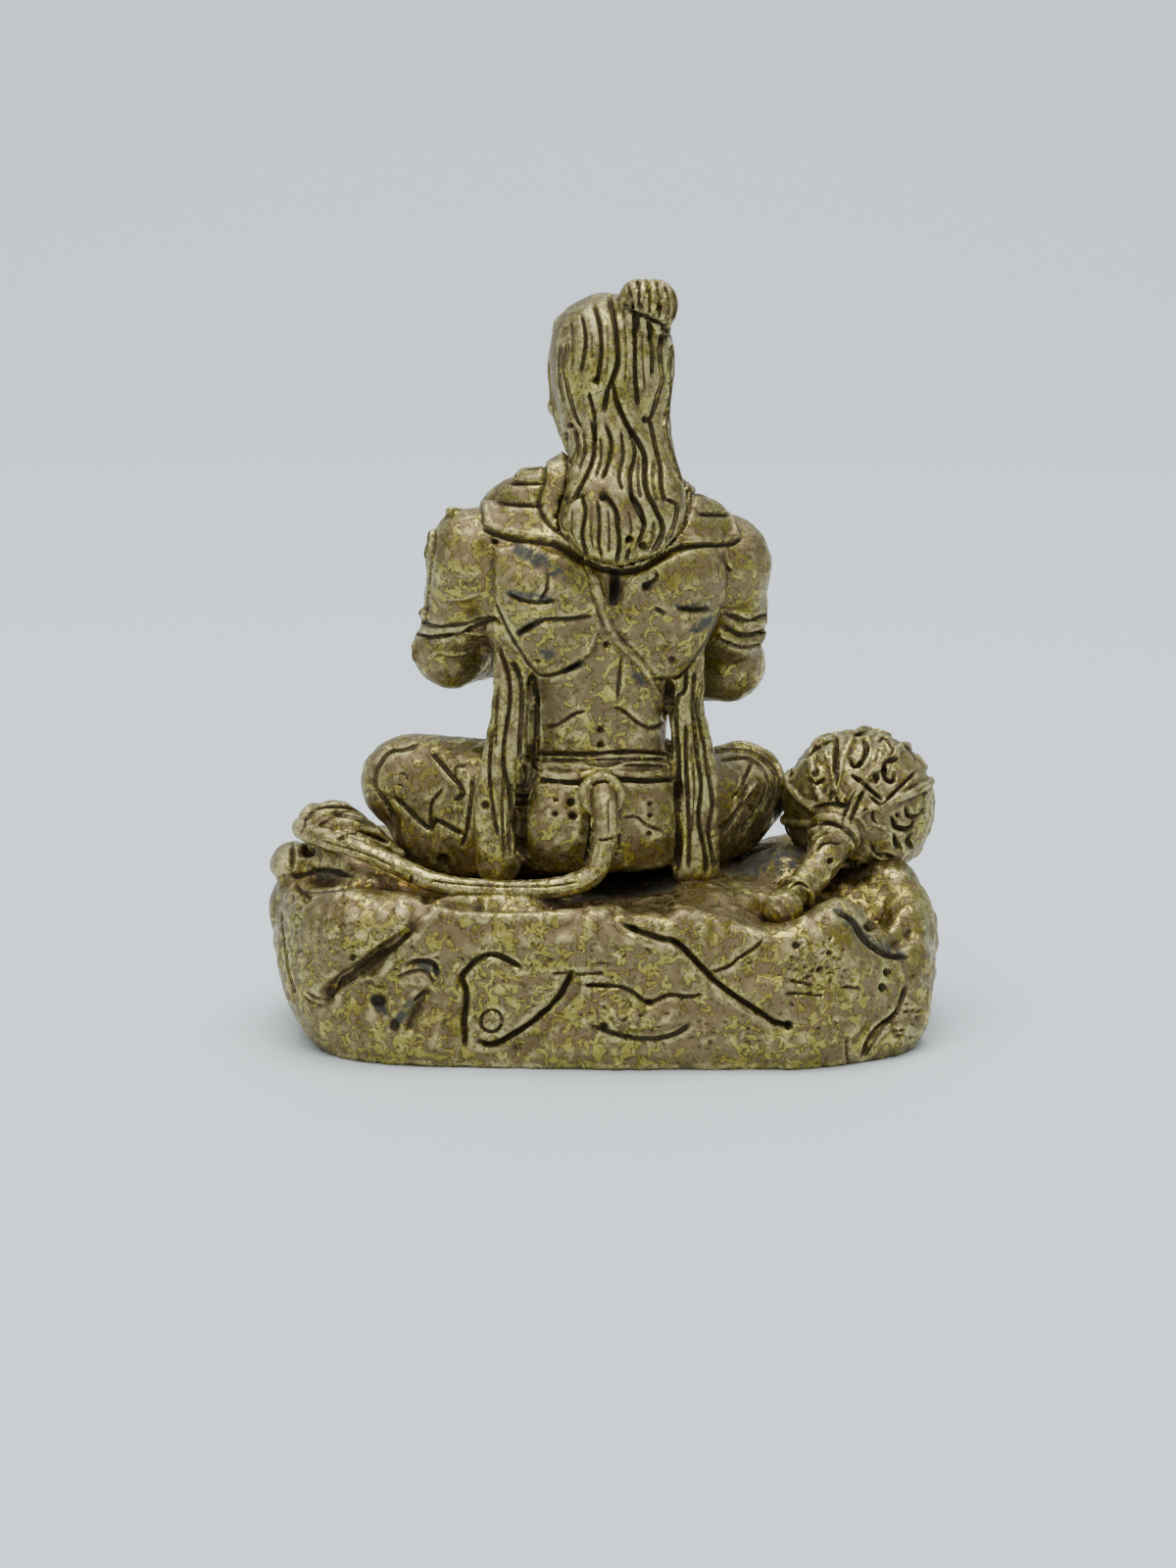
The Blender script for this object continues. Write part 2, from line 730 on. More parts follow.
def rock_body():
    """The oval block: its wall leans in at foot and rim, and its top has lumps and hollows."""

    def distance(x, y, z):
        top = ROCK["top"] + 0 * x + 0 * y
        for cx, cy, rise, reach in TOP_LUMPS:
            top = top + rise * hill(np.hypot(x - cx, y - cy), reach)
        rise = np.clip(z / top, 0, 1)
        lean = 1 - 0.05 * (1 - np.minimum(1, rise * 3)) ** 2 - 0.07 * rise**4
        tuck = np.where(x > 0, 2.1 * np.abs(x / ROCK["half_length"]) ** 4 * (1 - rise) ** 3, 0)
        power = ROCK["corner"]
        wide, deep = ROCK["half_length"] * lean, ROCK["half_depth"] * lean
        u, v = np.abs(x + tuck) / wide + 1e-6, np.abs(y) / deep + 1e-6
        ring = (u**power + v**power) ** (1 / power)
        steep = ring ** (1 - power) * np.sqrt((u ** (power - 1) / wide) ** 2 + (v ** (power - 1) / deep) ** 2)
        wall = (ring - 1) / steep
        for cx, side, cz, push, reach in WALL_SWELLS:
            wall = wall - np.where(side * y > 0, push * hill(np.hypot(x - cx, z - cz), reach), 0)
        return soft_max(wall, z - top, 0.9)

    return Shape((-17, -11, -0.5), (17, 11, 10), distance)


def soft_max(a, b, blend):
    mix = np.clip(0.5 - 0.5 * (b - a) / blend, 0, 1)
    return b * (1 - mix) + a * mix + blend * mix * (1 - mix)


# Lumps of the rock's top and ends, each centre, radii and turn
ROCK_LUMPS = [
    ((-13.4, 0.4, 6.2), (1.5, 1.7, 1.7), (0, 0, 0)),
    ((-14.7, 1.2, 4.9), (0.85, 1.2, 1.7), (0, 8, 0)),
    ((-8.6, -0.6, 6.9), (2.2, 2.4, 1.5), (0, 0, 0)),
    ((-9.4, -4.6, 6.6), (2.4, 2.2, 1.3), (0, 0, 0)),
    ((-12.0, -2.6, 6.0), (2.6, 2.6, 1.5), (0, 0, 0)),
    ((14.5, 1.0, 8.0), (1.25, 1.9, 0.9), (0, 20, 0)),
    ((15.0, 0.6, 5.6), (0.75, 2.2, 1.2), (0, 0, 0)),
    ((11.8, 1.6, 8.2), (2.2, 2.0, 1.3), (0, 0, 0)),
    ((9.6, 3.6, 7.6), (2.4, 1.4, 0.9), (0, 0, 12)),
    ((4.6, 6.4, 7.3), (2.6, 0.9, 0.6), (0, 0, 6)),
]
# Bites where the rock is broken: centre and radius of a ball that takes a shallow shell away
ROCK_BITES = [
    ((6.6, 13.6, 3.2), 5.2),
    ((1.8, 15.4, 2.0), 6.4),
    ((12.6, 11.6, 2.6), 4.2),
    ((-6.8, 15.7, 6.2), 6.9),
    ((-14.6, 10.4, 6.6), 4.3),
    ((-12.2, 3.2, 7.6), 1.9),
    ((-19.0, 3.0, 2.4), 4.0),
    ((9.5, -13.2, 5.0), 5.0),
    ((-2.5, -14.6, 2.2), 5.7),
    ((-12.5, -11.8, 5.5), 4.6),
    ((18.8, -3.5, 4.8), 4.2),
]
# Marks on the rock's back, in pixels of the photograph: path, half width in pixels, depth in mm
ROCK_SWELLS = [
    ([(322, 952), (360, 940), (405, 938)], 22.0, 0.42),
    ([(445, 935), (421, 953), (402, 974), (388, 1000)], 7.0, 0.3),
    ([(388, 992), (369, 998), (353, 1005), (343, 1014)], 5.0, 0.25),
    ([(421, 948), (402, 963), (383, 979), (364, 993), (348, 1003), (334, 1015)], 8.0, -0.5),
    ([(415, 1000), (432, 1000), (440, 1010)], 9.0, 0.2),
    ([(436, 1014), (425, 1032), (418, 1048)], 6.0, -0.3),
    ([(458, 1000), (452, 1030), (445, 1060)], 9.0, 0.25),
    ([(384, 1020), (396, 1042)], 9.0, -0.25),
    ([(585, 1004), (566, 1036), (528, 1070)], 9.0, -0.28),
    ([(500, 955), (560, 962), (600, 955)], 12.0, 0.18),
    ([(618, 1034), (655, 1040), (690, 1036)], 11.0, 0.26),
    ([(607, 936), (628, 930), (642, 958)], 8.0, 0.2),
    ([(650, 958), (690, 972)], 7.0, 0.22),
    ([(692, 932), (735, 942), (777, 958)], 9.0, 0.25),
    ([(735, 1010), (770, 1020), (800, 1000)], 16.0, 0.2),
    ([(800, 975), (840, 965), (870, 985)], 16.0, 0.22),
    ([(338, 916), (380, 918), (440, 926), (475, 935), (530, 936), (600, 931)], 7.0, 0.22),
    ([(435, 921), (494, 926), (560, 925), (600, 921)], 5.0, -0.3),
    ([(898, 1040), (880, 1065)], 9.0, -0.3),
    ([(917, 960), (930, 950)], 9.0, -0.4),
]
ROCK_CRACKS = [
    ([(479, 988), (471, 998), (475, 1012), (474, 1031), (473, 1045), (474, 1067)], 1.9, 0.5),
    ([(475, 991), (485, 981), (497, 975), (507, 975), (518, 980), (531, 987)], 2.2, 0.4),
    ([(583, 993), (577, 1007), (563, 1026), (544, 1043), (520, 1059), (501, 1067), (489, 1063)], 2.4, 0.6),
    ([(564, 994), (583, 993)], 1.3, 0.2),
    ([(420, 951), (402, 968), (383, 983), (364, 997), (348, 1007), (336, 1017)], 1.7, 0.4),
    ([(416, 985), (430, 981), (443, 985), (446, 997)], 2.2, 0.35),
    ([(407, 996), (421, 991), (435, 992), (444, 1003)], 1.4, 0.2),
    ([(421, 1022), (435, 1012)], 1.8, 0.3),
    ([(600, 1006), (631, 1007), (647, 1014), (659, 1023), (668, 1022), (683, 1016), (704, 1018), (713, 1016)], 1.5, 0.3),
    ([(584, 996), (617, 993)], 1.2, 0.2),
    ([(596, 1006), (620, 1007)], 1.3, 0.25),
    ([(600, 984), (624, 984)], 1.0, 0.14),
    ([(633, 941), (647, 948), (671, 957), (687, 960)], 2.6, 0.4),
    ([(684, 958), (702, 972), (720, 991), (732, 1003), (751, 1017), (775, 1033), (789, 1043), (803, 1047)], 2.0, 0.6),
    ([(725, 993), (742, 987), (756, 977), (770, 967), (778, 959)], 1.3, 0.25),
    ([(604, 1047), (624, 1054), (647, 1060), (671, 1060), (690, 1055), (704, 1045)], 2.2, 0.25),
    ([(801, 1014), (820, 1014), (841, 1016)], 1.3, 0.22),
    ([(805, 1000), (831, 1005)], 1.3, 0.22),
    ([(860, 1007), (878, 1008)], 1.2, 0.2),
    ([(926, 1007), (916, 1033), (900, 1050), (881, 1080)], 2.0, 0.4),
    ([(855, 930), (871, 939), (883, 958), (902, 972), (926, 977)], 2.6, 0.4),
    ([(864, 1059), (865, 1086)], 1.2, 0.14),
    ([(312, 1012), (322, 1019), (333, 1022)], 1.0, 0.14),
    ([(309, 1017), (319, 1024), (329, 1027)], 1.0, 0.14),
    ([(298, 895), (325, 889), (360, 893)], 1.6, 0.25),
    ([(300, 902), (314, 911), (356, 908)], 1.6, 0.3),
    ([(298, 860), (299, 887)], 1.8, 0.3),
    ([(287, 930), (292, 980), (300, 1015)], 1.4, 0.15),
]
RING_MARK = {"centre": (501, 1042), "radius": 11.0}
ROCK_PITS = [
    ((804, 1047), 3.6, 0.5),
    ((662, 1023), 2.0, 0.3),
    ((713, 1016), 1.5, 0.25),
    ((907, 992), 3.0, 0.4),
    ((902, 1008), 3.2, 0.4),
    ((812, 965), 3.2, 0.3),
    ((845, 972), 2.2, 0.25),
    ((890, 944), 5.0, 0.5),
    ((616, 1047), 3.0, 0.3),
    ((647, 946), 3.0, 0.3),
    ((383, 1021), 5.0, 0.25),
    ((402, 1047), 5.0, 0.25),
    ((312, 916), 3.8, 0.4),
    ((360, 978), 3.0, 0.3),
    ((314, 868), 5.0, 0.4),
]
ROCK_FILM = [
    ([(383, 1020), (390, 1030)], 8.0, 0.8),
    ([(402, 1047), (420, 1022)], 6.0, 0.8),
    ([(430, 984), (446, 990)], 5.0, 0.9),
    ([(855, 930), (884, 958), (920, 976)], 8.0, 0.7),
    ([(616, 1047), (630, 1055)], 5.0, 0.6),
    ([(325, 893), (345, 890)], 7.0, 0.6),
    ([(560, 915), (680, 902)], 10.0, 0.9),
    ([(752, 880), (815, 878)], 18.0, 0.9),
]
# Beds of small pits: the middle and half size of the bed in pixels, how many, and how deep in mm
PIT_BEDS = [
    ((830, 990), (48, 32), 90, 0.16),
    ((640, 1040), (60, 18), 45, 0.14),
    ((600, 970), (110, 25), 60, 0.1),
    ((360, 950), (50, 25), 40, 0.1),
    ((720, 1050), (130, 22), 60, 0.12),
    ((540, 1020), (40, 30), 20, 0.1),
    ((925, 1040), (22, 40), 30, 0.2),
    ((400, 960), (60, 40), 40, 0.12),
    ((300, 950), (16, 60), 20, 0.12),
]
# Marks on the rock's front, in millimetres across and up
FRONT_CRACKS = [
    ([(-9.5, 5.6), (-8.0, 3.6), (-7.6, 1.6)], 0.11, 0.4),
    ([(3.6, 5.8), (5.2, 4.0), (8.2, 3.2)], 0.1, 0.35),
    ([(5.2, 4.0), (4.4, 2.6), (4.8, 1.2)], 0.07, 0.25),
    ([(-2.4, 3.6), (-0.4, 3.2), (1.6, 3.6)], 0.07, 0.2),
    ([(-13.0, 4.2), (-11.4, 2.8), (-11.0, 1.4)], 0.08, 0.3),
    ([(10.6, 5.6), (11.6, 3.8), (11.2, 2.2)], 0.08, 0.3),
]


def carve_rock(marks, front):
    for path, width, height in ROCK_SWELLS:
        marks.swell(path, width, height)
    for path, width, depth in ROCK_CRACKS:
        marks.line(path, width, depth, 0.25)
    for place, radius, depth in ROCK_PITS:
        marks.pit(place, radius, depth)
    for path, radius, strength in ROCK_FILM:
        marks.stain(path, radius, strength)
    random = np.random.default_rng(61)
    for (u, v), (wide, high), count, depth in PIT_BEDS:
        for _ in range(count):
            place = (u + random.normal(0, wide / 2), v + random.normal(0, high / 2))
            length, lean = random.uniform(0.5, 6), random.normal(0, 0.6)
            end = (place[0] + length * math.cos(lean), place[1] + length * math.sin(lean))
            marks.line([place, end], random.uniform(0.9, 1.7), depth * random.uniform(0.5, 1.5))
    centre, radius = RING_MARK["centre"], RING_MARK["radius"]
    circle = [(centre[0] + radius * math.cos(a), centre[1] + radius * math.sin(a)) for a in np.linspace(0, 6.6, 17)]
    marks.line(circle, 1.3, 0.22)
    for path, width, depth in FRONT_CRACKS:
        front.line(path, width, depth, 0.25)


def shape_rock(grain):
    clay = Clay((-17.2, -10.6, -0.6), (17.2, 10.6, 10.4), grain)
    clay.add(rock_body(), 0.01)
    for centre, radii, turn in ROCK_LUMPS:
        clay.add(egg(centre, radii, turn), 0.5)
    for centre, radius in ROCK_BITES:
        clay.cut(egg(centre, (radius,) * 3), 0.25)
    clay.roughen(4.2, 0.3, 11)
    clay.roughen(1.7, 0.14, 12)
    clay.roughen(0.75, 0.07, 13, ridged=True)
    level = clay.axes[2][None, None, :]
    clay.field = np.maximum(clay.field, -level).astype(np.float32)
    keep_form("rock", "rock", *clay.mesh())


# The figure's trunk, limbs and head, in its own frame

TORSO = [
    (BELT_Z - 1.2, 0.2, 1.6, 3.5, 2.3),
    (BELT_Z + 1.2, 0.05, 1.5, 3.2, 2.15),
    (16.4, 0.0, 1.3, 3.75, 2.3),
    (18.6, -0.05, 1.1, 5.0, 2.9),
    (21.0, -0.1, 1.0, 5.8, 3.25),
    (23.0, -0.2, 1.0, 5.5, 2.9),
    (24.7, -0.35, 1.1, 3.9, 2.2),
    (26.4, -0.5, 0.9, 2.2, 1.8),
]
LOINS = [
    (SEAT_Z, 0.3, 1.5, 2.9, 2.2),
    (SEAT_Z + 0.5, 0.3, 1.5, 3.6, 3.0),
    (10.4, 0.35, 1.5, 3.8, 3.35),
    (11.9, 0.3, 1.5, 3.65, 3.1),
    (BELT_Z + 0.1, 0.2, 1.5, 3.4, 2.5),
]
SHINS = {
    LEFT: {"middle": (3.4, -5.3, 10.5), "ankle": (-1.7, -5.9, 10.7), "toes": (-5.0, -4.9, 11.5)},
    RIGHT: {"middle": (-3.2, -6.4, 9.2), "ankle": (2.5, -7.2, 8.7), "toes": (5.9, -6.2, 8.6)},
}
SASHES = {
    LEFT: {"top": (4.4, 1.6, 20.0), "waist": (4.4, 2.9, 16.4), "foot": (5.1, 3.2, 8.7)},
    RIGHT: {"top": (-4.5, 1.6, 19.4), "waist": (-3.8, 2.9, 15.8), "foot": (-4.2, 3.3, 8.0)},
}
# The back's muscles and creases, in pixels of the photograph: path, half width in pixels, depth in mm
LATS = [
    [(505, 560), (540, 556), (598, 578), (607, 604), (613, 640), (600, 668), (577, 683), (557, 688), (546, 685),
     (530, 662), (516, 637), (507, 614)],
    [(740, 556), (700, 562), (650, 582), (634, 610), (628, 640), (650, 672), (668, 691), (689, 690), (700, 681),
     (716, 660), (730, 635), (738, 612)],
]
COLLAR_OUTLINE = [
    (566, 440), (537, 475), (506, 513), (493, 515), (494, 536), (506, 543), (534, 550), (567, 553), (593, 566),
    (613, 577), (634, 581), (657, 577), (682, 560), (697, 556), (741, 555), (755, 548), (744, 523), (733, 502),
    (716, 484), (693, 455),
]
BACK_SWELLS = [
    ([(622, 660), (622, 700), (621, 764)], 8.0, 0.14),
    ([(560, 650), (585, 655)], 16.0, 0.14),
    ([(690, 645), (665, 650)], 16.0, 0.14),
    ([(530, 590), (575, 600)], 12.0, 0.12),
    ([(720, 585), (680, 600)], 12.0, 0.12),
    ([(606, 588), (614, 610)], 5.0, 0.16),
    ([(643, 588), (636, 612)], 5.0, 0.16),
    ([(572, 745), (590, 750)], 12.0, 0.12),
    ([(650, 752), (664, 755)], 12.0, 0.12),
    ([(550, 580), (562, 588)], 6.0, -0.12),
]
BACK_LINES = [
    ([(567, 556), (593, 569), (613, 580), (634, 584), (657, 580), (682, 563)], 2.6, 0.3),
    ([(494, 540), (506, 546), (534, 553), (567, 556)], 1.3, 0.16),
    ([(682, 562), (697, 559), (741, 557), (756, 550)], 1.3, 0.16),
    ([(628, 583), (628, 598), (626, 614)], 4.0, 0.7),
    ([(506, 614), (516, 637), (530, 662), (546, 685), (557, 689), (577, 684), (592, 677)], 1.8, 0.25),
    ([(737, 614), (730, 636), (716, 661), (700, 682), (689, 691), (668, 693)], 1.8, 0.25),
    ([(576, 684), (585, 680), (594, 676)], 2.4, 0.3),
    ([(530, 646), (541, 637), (555, 631), (580, 630), (601, 627)], 1.5, 0.22),
    ([(530, 644), (545, 636)], 2.6, 0.3),
    ([(521, 605), (534, 612), (551, 614), (566, 612)], 1.8, 0.25),
    ([(559, 587), (557, 601), (551, 612)], 1.3, 0.2),
    ([(691, 619), (703, 621), (719, 620)], 2.0, 0.3),
    ([(667, 619), (678, 624)], 1.6, 0.2),
    ([(659, 597), (669, 589), (668, 581)], 1.4, 0.2),
    ([(737, 560), (739, 574), (746, 583)], 1.6, 0.3),
    ([(480, 637), (491, 633), (503, 632), (509, 637)], 1.6, 0.3),
    ([(634, 671), (631, 700), (630, 712)], 1.4, 0.16),
    ([(555, 742), (569, 739), (584, 730), (598, 726)], 1.4, 0.18),
    ([(626, 721), (637, 726), (650, 737), (664, 743), (676, 739)], 1.4, 0.18),
    ([(683, 697), (683, 715), (681, 732)], 3.0, 0.5),
    ([(548, 768), (600, 769), (640, 767), (680, 769)], 1.3, 0.25),
    ([(560, 774), (600, 775), (680, 774)], 1.2, 0.2),
    ([(636, 781), (680, 782)], 1.3, 0.25),
    ([(549, 796), (590, 799), (604, 797)], 1.6, 0.3),
    ([(630, 795), (660, 797), (690, 795)], 1.6, 0.3),
    ([(534, 800), (532, 840), (534, 876)], 2.4, 0.5),
    ([(692, 800), (694, 845), (690, 885)], 2.4, 0.5),
    ([(603, 812), (604, 850), (598, 880)], 2.0, 0.35),
    ([(630, 812), (630, 850), (628, 872)], 2.0, 0.35),
    ([(637, 835), (650, 834), (660, 842), (676, 848)], 1.3, 0.14),
]
BACK_PITS = [
    ((583, 818), 3.4, 0.4),
    ((585, 832), 3.4, 0.4),
    ((567, 816), 1.6, 0.2),
    ((566, 830), 2.6, 0.25),
    ((664, 820), 2.2, 0.2),
    ((664, 832), 2.6, 0.25),
    ((663, 851), 2.4, 0.2),
    ((613, 745), 2.4, 0.3),
    ((613, 760), 2.6, 0.3),
    ((619, 658), 2.8, 0.3),
    ((659, 598), 3.6, 0.3),
    ((505, 552), 2.2, 0.3),
    ((549, 673), 1.8, 0.2),
    ((684, 672), 2.6, 0.2),
    ((451, 879), 5.0, 0.4),
    ((495, 822), 3.6, 0.3),
]
BACK_FILM = [
    ([(530, 562), (552, 572)], 9.0, 0.9),
    ([(562, 582), (590, 590)], 7.0, 0.9),
    ([(521, 605), (560, 612)], 5.0, 0.8),
    ([(530, 645), (546, 636)], 5.0, 0.9),
    ([(550, 665), (562, 668)], 8.0, 0.7),
    ([(576, 684), (594, 677)], 4.0, 0.9),
    ([(648, 690), (656, 698)], 6.0, 0.8),
    ([(708, 644), (724, 632)], 7.0, 0.7),
    ([(690, 619), (719, 620)], 4.0, 0.9),
    ([(659, 598), (662, 596)], 5.0, 0.8),
    ([(628, 584), (626, 613)], 6.0, 1.0),
]
PLEAT_LINES = [
    ([(547, 470), (568, 465)], 1.5, 0.25),
    ([(534, 480), (556, 477)], 1.5, 0.25),
    ([(519, 495), (555, 494)], 1.8, 0.3),
    ([(506, 515), (530, 517), (553, 517)], 1.8, 0.3),
    ([(556, 466), (556, 490), (550, 516), (560, 536), (573, 546)], 2.0, 0.2),
    ([(695, 491), (716, 491)], 1.5, 0.25),
    ([(690, 478), (706, 478)], 1.5, 0.25),
    ([(705, 504), (728, 507)], 1.8, 0.3),
    ([(710, 526), (727, 527), (744, 528)], 1.8, 0.3),
    ([(694, 480), (704, 500), (702, 520), (690, 548)], 2.0, 0.2),
]
SASH_LINES = [
    ([(507, 660), (518, 685), (521, 714), (515, 755), (515, 783), (521, 806), (527, 845)], 1.7, 0.35),
    ([(523, 674), (532, 692), (534, 721), (532, 756), (532, 797), (535, 822)], 1.7, 0.35),
    ([(543, 690), (546, 721), (545, 765), (542, 790), (534, 812), (530, 845), (532, 876)], 2.2, 0.45),
    ([(501, 742), (499, 778), (500, 806), (505, 837), (509, 852)], 1.5, 0.3),
    ([(508, 700), (505, 740), (506, 762)], 1.2, 0.2),
    ([(482, 795), (480, 816), (476, 845), (471, 864)], 1.4, 0.2),
    ([(515, 790), (513, 830), (516, 870)], 1.3, 0.2),
    ([(524, 800), (520, 840), (522, 872)], 1.2, 0.2),
    ([(701, 681), (699, 703), (690, 712), (689, 739), (692, 799), (692, 830)], 1.7, 0.35),
    ([(710, 685), (708, 720), (711, 760), (716, 800), (713, 835), (720, 870), (722, 892)], 1.7, 0.35),
    ([(700, 740), (699, 774), (700, 800), (703, 840), (702, 885)], 1.6, 0.3),
    ([(718, 695), (713, 722), (718, 752), (724, 790), (728, 820), (724, 850), (731, 885)], 1.4, 0.3),
    ([(706, 760), (708, 800), (706, 850)], 1.1, 0.16),
]
LIMB_LINES = [
    ([(425, 759), (413, 764), (398, 766), (387, 779), (382, 793), (384, 806), (394, 820), (402, 837)], 1.6, 0.3),
    ([(441, 767), (452, 780), (463, 793), (470, 802), (472, 811), (464, 817)], 1.3, 0.25),
    ([(476, 780), (465, 782), (463, 793)], 1.1, 0.15),
    ([(451, 805), (440, 820), (438, 845)], 1.2, 0.2),
    ([(402, 814), (417, 828), (428, 839), (438, 846), (444, 838), (459, 845), (471, 852)], 1.7, 0.35),
    ([(405, 790), (413, 790), (415, 798)], 1.1, 0.14),
    ([(404, 800), (412, 803)], 1.1, 0.14),
    ([(728, 766), (750, 764), (770, 768), (790, 784), (794, 805), (785, 832), (765, 862)], 1.5, 0.3),
    ([(735, 775), (765, 773), (782, 790), (782, 812), (757, 850)], 1.3, 0.25),
    ([(748, 816), (758, 800), (768, 778)], 1.3, 0.25),
    ([(738, 850), (752, 830), (764, 800)], 1.2, 0.2),
    ([(424, 646), (440, 651), (470, 646), (503, 632)], 1.5, 0.3),
    ([(424, 632), (445, 640), (480, 637)], 1.3, 0.2),
    ([(436, 540), (430, 590), (426, 628)], 1.3, 0.2),
    ([(444, 545), (438, 590), (434, 636)], 1.1, 0.15),
    ([(737, 641), (760, 649), (792, 642)], 1.6, 0.3),
    ([(740, 628), (762, 634), (790, 625)], 1.3, 0.25),
    ([(735, 655), (758, 661), (789, 656)], 1.2, 0.2),
]


def carve_figure(marks, front):
    for outline in LATS:
        marks.patch(outline, -0.26, 5.0)
    marks.patch(COLLAR_OUTLINE, -0.3, 1.6)
    for path, width, height in BACK_SWELLS:
        marks.swell(path, width, height)
    for path, width, depth in BACK_LINES:
        marks.line(path, width, depth)
    for path, width, depth in PLEAT_LINES + SASH_LINES + LIMB_LINES:
        marks.line(path, width, depth, 0.35)
    for place, radius, depth in BACK_PITS:
        marks.pit(place, radius, depth)
    for path, radius, strength in BACK_FILM:
        marks.stain(path, radius, strength)


def add_trunk(clay):
    clay.add(loft(TORSO, 2.3), 0.01)
    clay.add(loft(LOINS, 3.2), 0.5)
    for side in (LEFT, RIGHT):
        clay.add(egg((side * 3.1, 1.9, 20.2), (2.4, 2.1, 4.0), (0, side * 22, 0)), 0.6)
        clay.add(egg((side * 2.7, 3.2, 21.4), (2.0, 1.15, 1.9), (0, side * 16, 0)), 0.7)
        clay.add(egg((side * 1.25, 2.7, 16.4), (0.95, 1.0, 3.6)), 0.8)
        clay.add(bone([(side * 0.7, 1.3, 26.0), (side * 2.6, 1.6, 24.6), (side * 5.0, 1.0, 23.4)], [1.2, 1.3, 1.2]), 0.6)
        clay.add(egg((0.35 + side * 1.75, 2.7, 10.2), (1.95, 2.25, 2.1)), 0.35)
        clay.add(egg((side * 2.2, -1.2, 21.8), (2.4, 1.35, 1.75), (0, side * -8, 0)), 0.35)
        clay.add(egg((side * 1.0, -0.9, 18.9), (1.0, 0.9, 0.8)), 0.3)
        clay.add(egg((side * 0.95, -1.0, 17.2), (0.95, 0.95, 0.85)), 0.3)
    clay.add(egg((0, -0.6, 15.4), (2.7, 1.75, 2.4)), 0.5)
    clay.cut(egg((0, -2.4, 15.2), (0.3, 0.4, 0.4)))
    clay.cut(bone([(0, -2.6, 23.4), (0, -2.5, 20.0)], [0.2, 0.2]), 0.4)


def add_arm(clay, side):
    shoulder, elbow = SHOULDERS[side], ELBOWS[side]
    middle = tuple((a + b) / 2 for a, b in zip(shoulder, elbow))
    clay.add(egg(shoulder, (2.05, 2.2, 2.45), (0, side * 12, 0)), 0.45)
    clay.add(bone([shoulder, middle, elbow], [1.9, 1.72, 1.55]), 0.5)
    clay.add(egg((middle[0] + side * 0.1, middle[1] + 0.6, middle[2] + 0.2), (1.6, 1.4, 2.1)), 0.5)
    clay.add(egg((middle[0], middle[1] - 1.0, middle[2] - 0.2), (1.35, 1.1, 1.7)), 0.4)
    clay.add(egg(elbow, (1.6, 1.6, 1.5)), 0.5)
    wrist = mirrored(side, (0.95, -4.3, 18.3))
    middle = mirrored(side, (4.2, -3.2, elbow[2] - 0.1))
    clay.add(bone([elbow, middle, wrist], [1.65, 1.45, 0.75]), 0.4)
    clay.add(bone([wrist, mirrored(side, (0.5, -4.35, 19.4)), mirrored(side, (0.38, -4.3, 20.6))], [0.7, 0.85, 0.8],
                  (( 1, 0, 0), 0.55)), 0.2)
    for finger, (y, top) in enumerate([(-3.62, 22.2), (-4.05, 22.75), (-4.48, 22.7), (-4.9, 22.1)]):
        start = mirrored(side, (0.34, y - 0.05, 20.3))
        clay.add(bone([start, mirrored(side, (0.3, y - 0.02, 21.3)), mirrored(side, (0.24, y + 0.1, top))],
                      [0.29, 0.28, 0.2]), 0.06)
    clay.add(bone([mirrored(side, (0.55, -3.7, 19.2)), mirrored(side, (0.42, -3.15, 20.1)),
                   mirrored(side, (0.26, -3.05, 21.0))], [0.4, 0.33, 0.24]), 0.08)


def add_leg(clay, side):
    knee, shin = KNEES[side], SHINS[side]
    hip = (side * 2.5, 1.2, 10.3)
    thigh = (side * 5.4, -0.9, knee[2] - 0.35)
    clay.add(bone([hip, thigh, knee], [2.75, 2.65, 2.3]), 0.6)
    clay.add(egg((side * 5.4, -0.5, 9.2), (4.0, 2.2, 2.2), (0, 0, side * -28)), 0.7)
    calf = (knee[0] - side * 0.6, knee[1] - 1.2, knee[2] - 1.0)
    clay.add(bone([calf, shin["middle"], shin["ankle"]], [1.9, 1.65, 0.95]), 0.35)
    ankle, toes = np.array(shin["ankle"]), np.array(shin["toes"])
    ahead = (toes - ankle) / np.linalg.norm(toes - ankle)
    across = np.cross(UP, ahead)
    across /= np.linalg.norm(across)
    clay.add(egg(ankle - ahead * 0.35 - np.array([0, 0, 0.1]), (0.95, 0.9, 0.85)), 0.3)
    clay.add(bone([ankle, (ankle + toes) / 2, toes], [0.85, 1.05, 1.15], (UP, 0.6)), 0.3)
    for number in range(5):
        lean = (number - 2) * 0.42
        length = 1.25 - 0.16 * number
        root = toes + across * lean * side + ahead * 0.2
        size = 0.42 - 0.04 * number
        clay.add(bone([root, root + ahead * length * 0.8], [size, size * 0.85]), 0.08)


def add_lap(clay):
    clay.add(egg((0, -3.4, 9.2), (4.6, 3.6, 1.9)), 0.4)
    for fold in np.linspace(-1, 1, 7):
        path = [(0.4 + fold * 0.9, -4.9, 12.1), (0.4 + fold * 1.4, -7.7, 10.7), (0.35 + fold * 1.9, -8.55, 7.9)]
        clay.add(bone(path, [0.28, 0.36, 0.4]), 0.12)


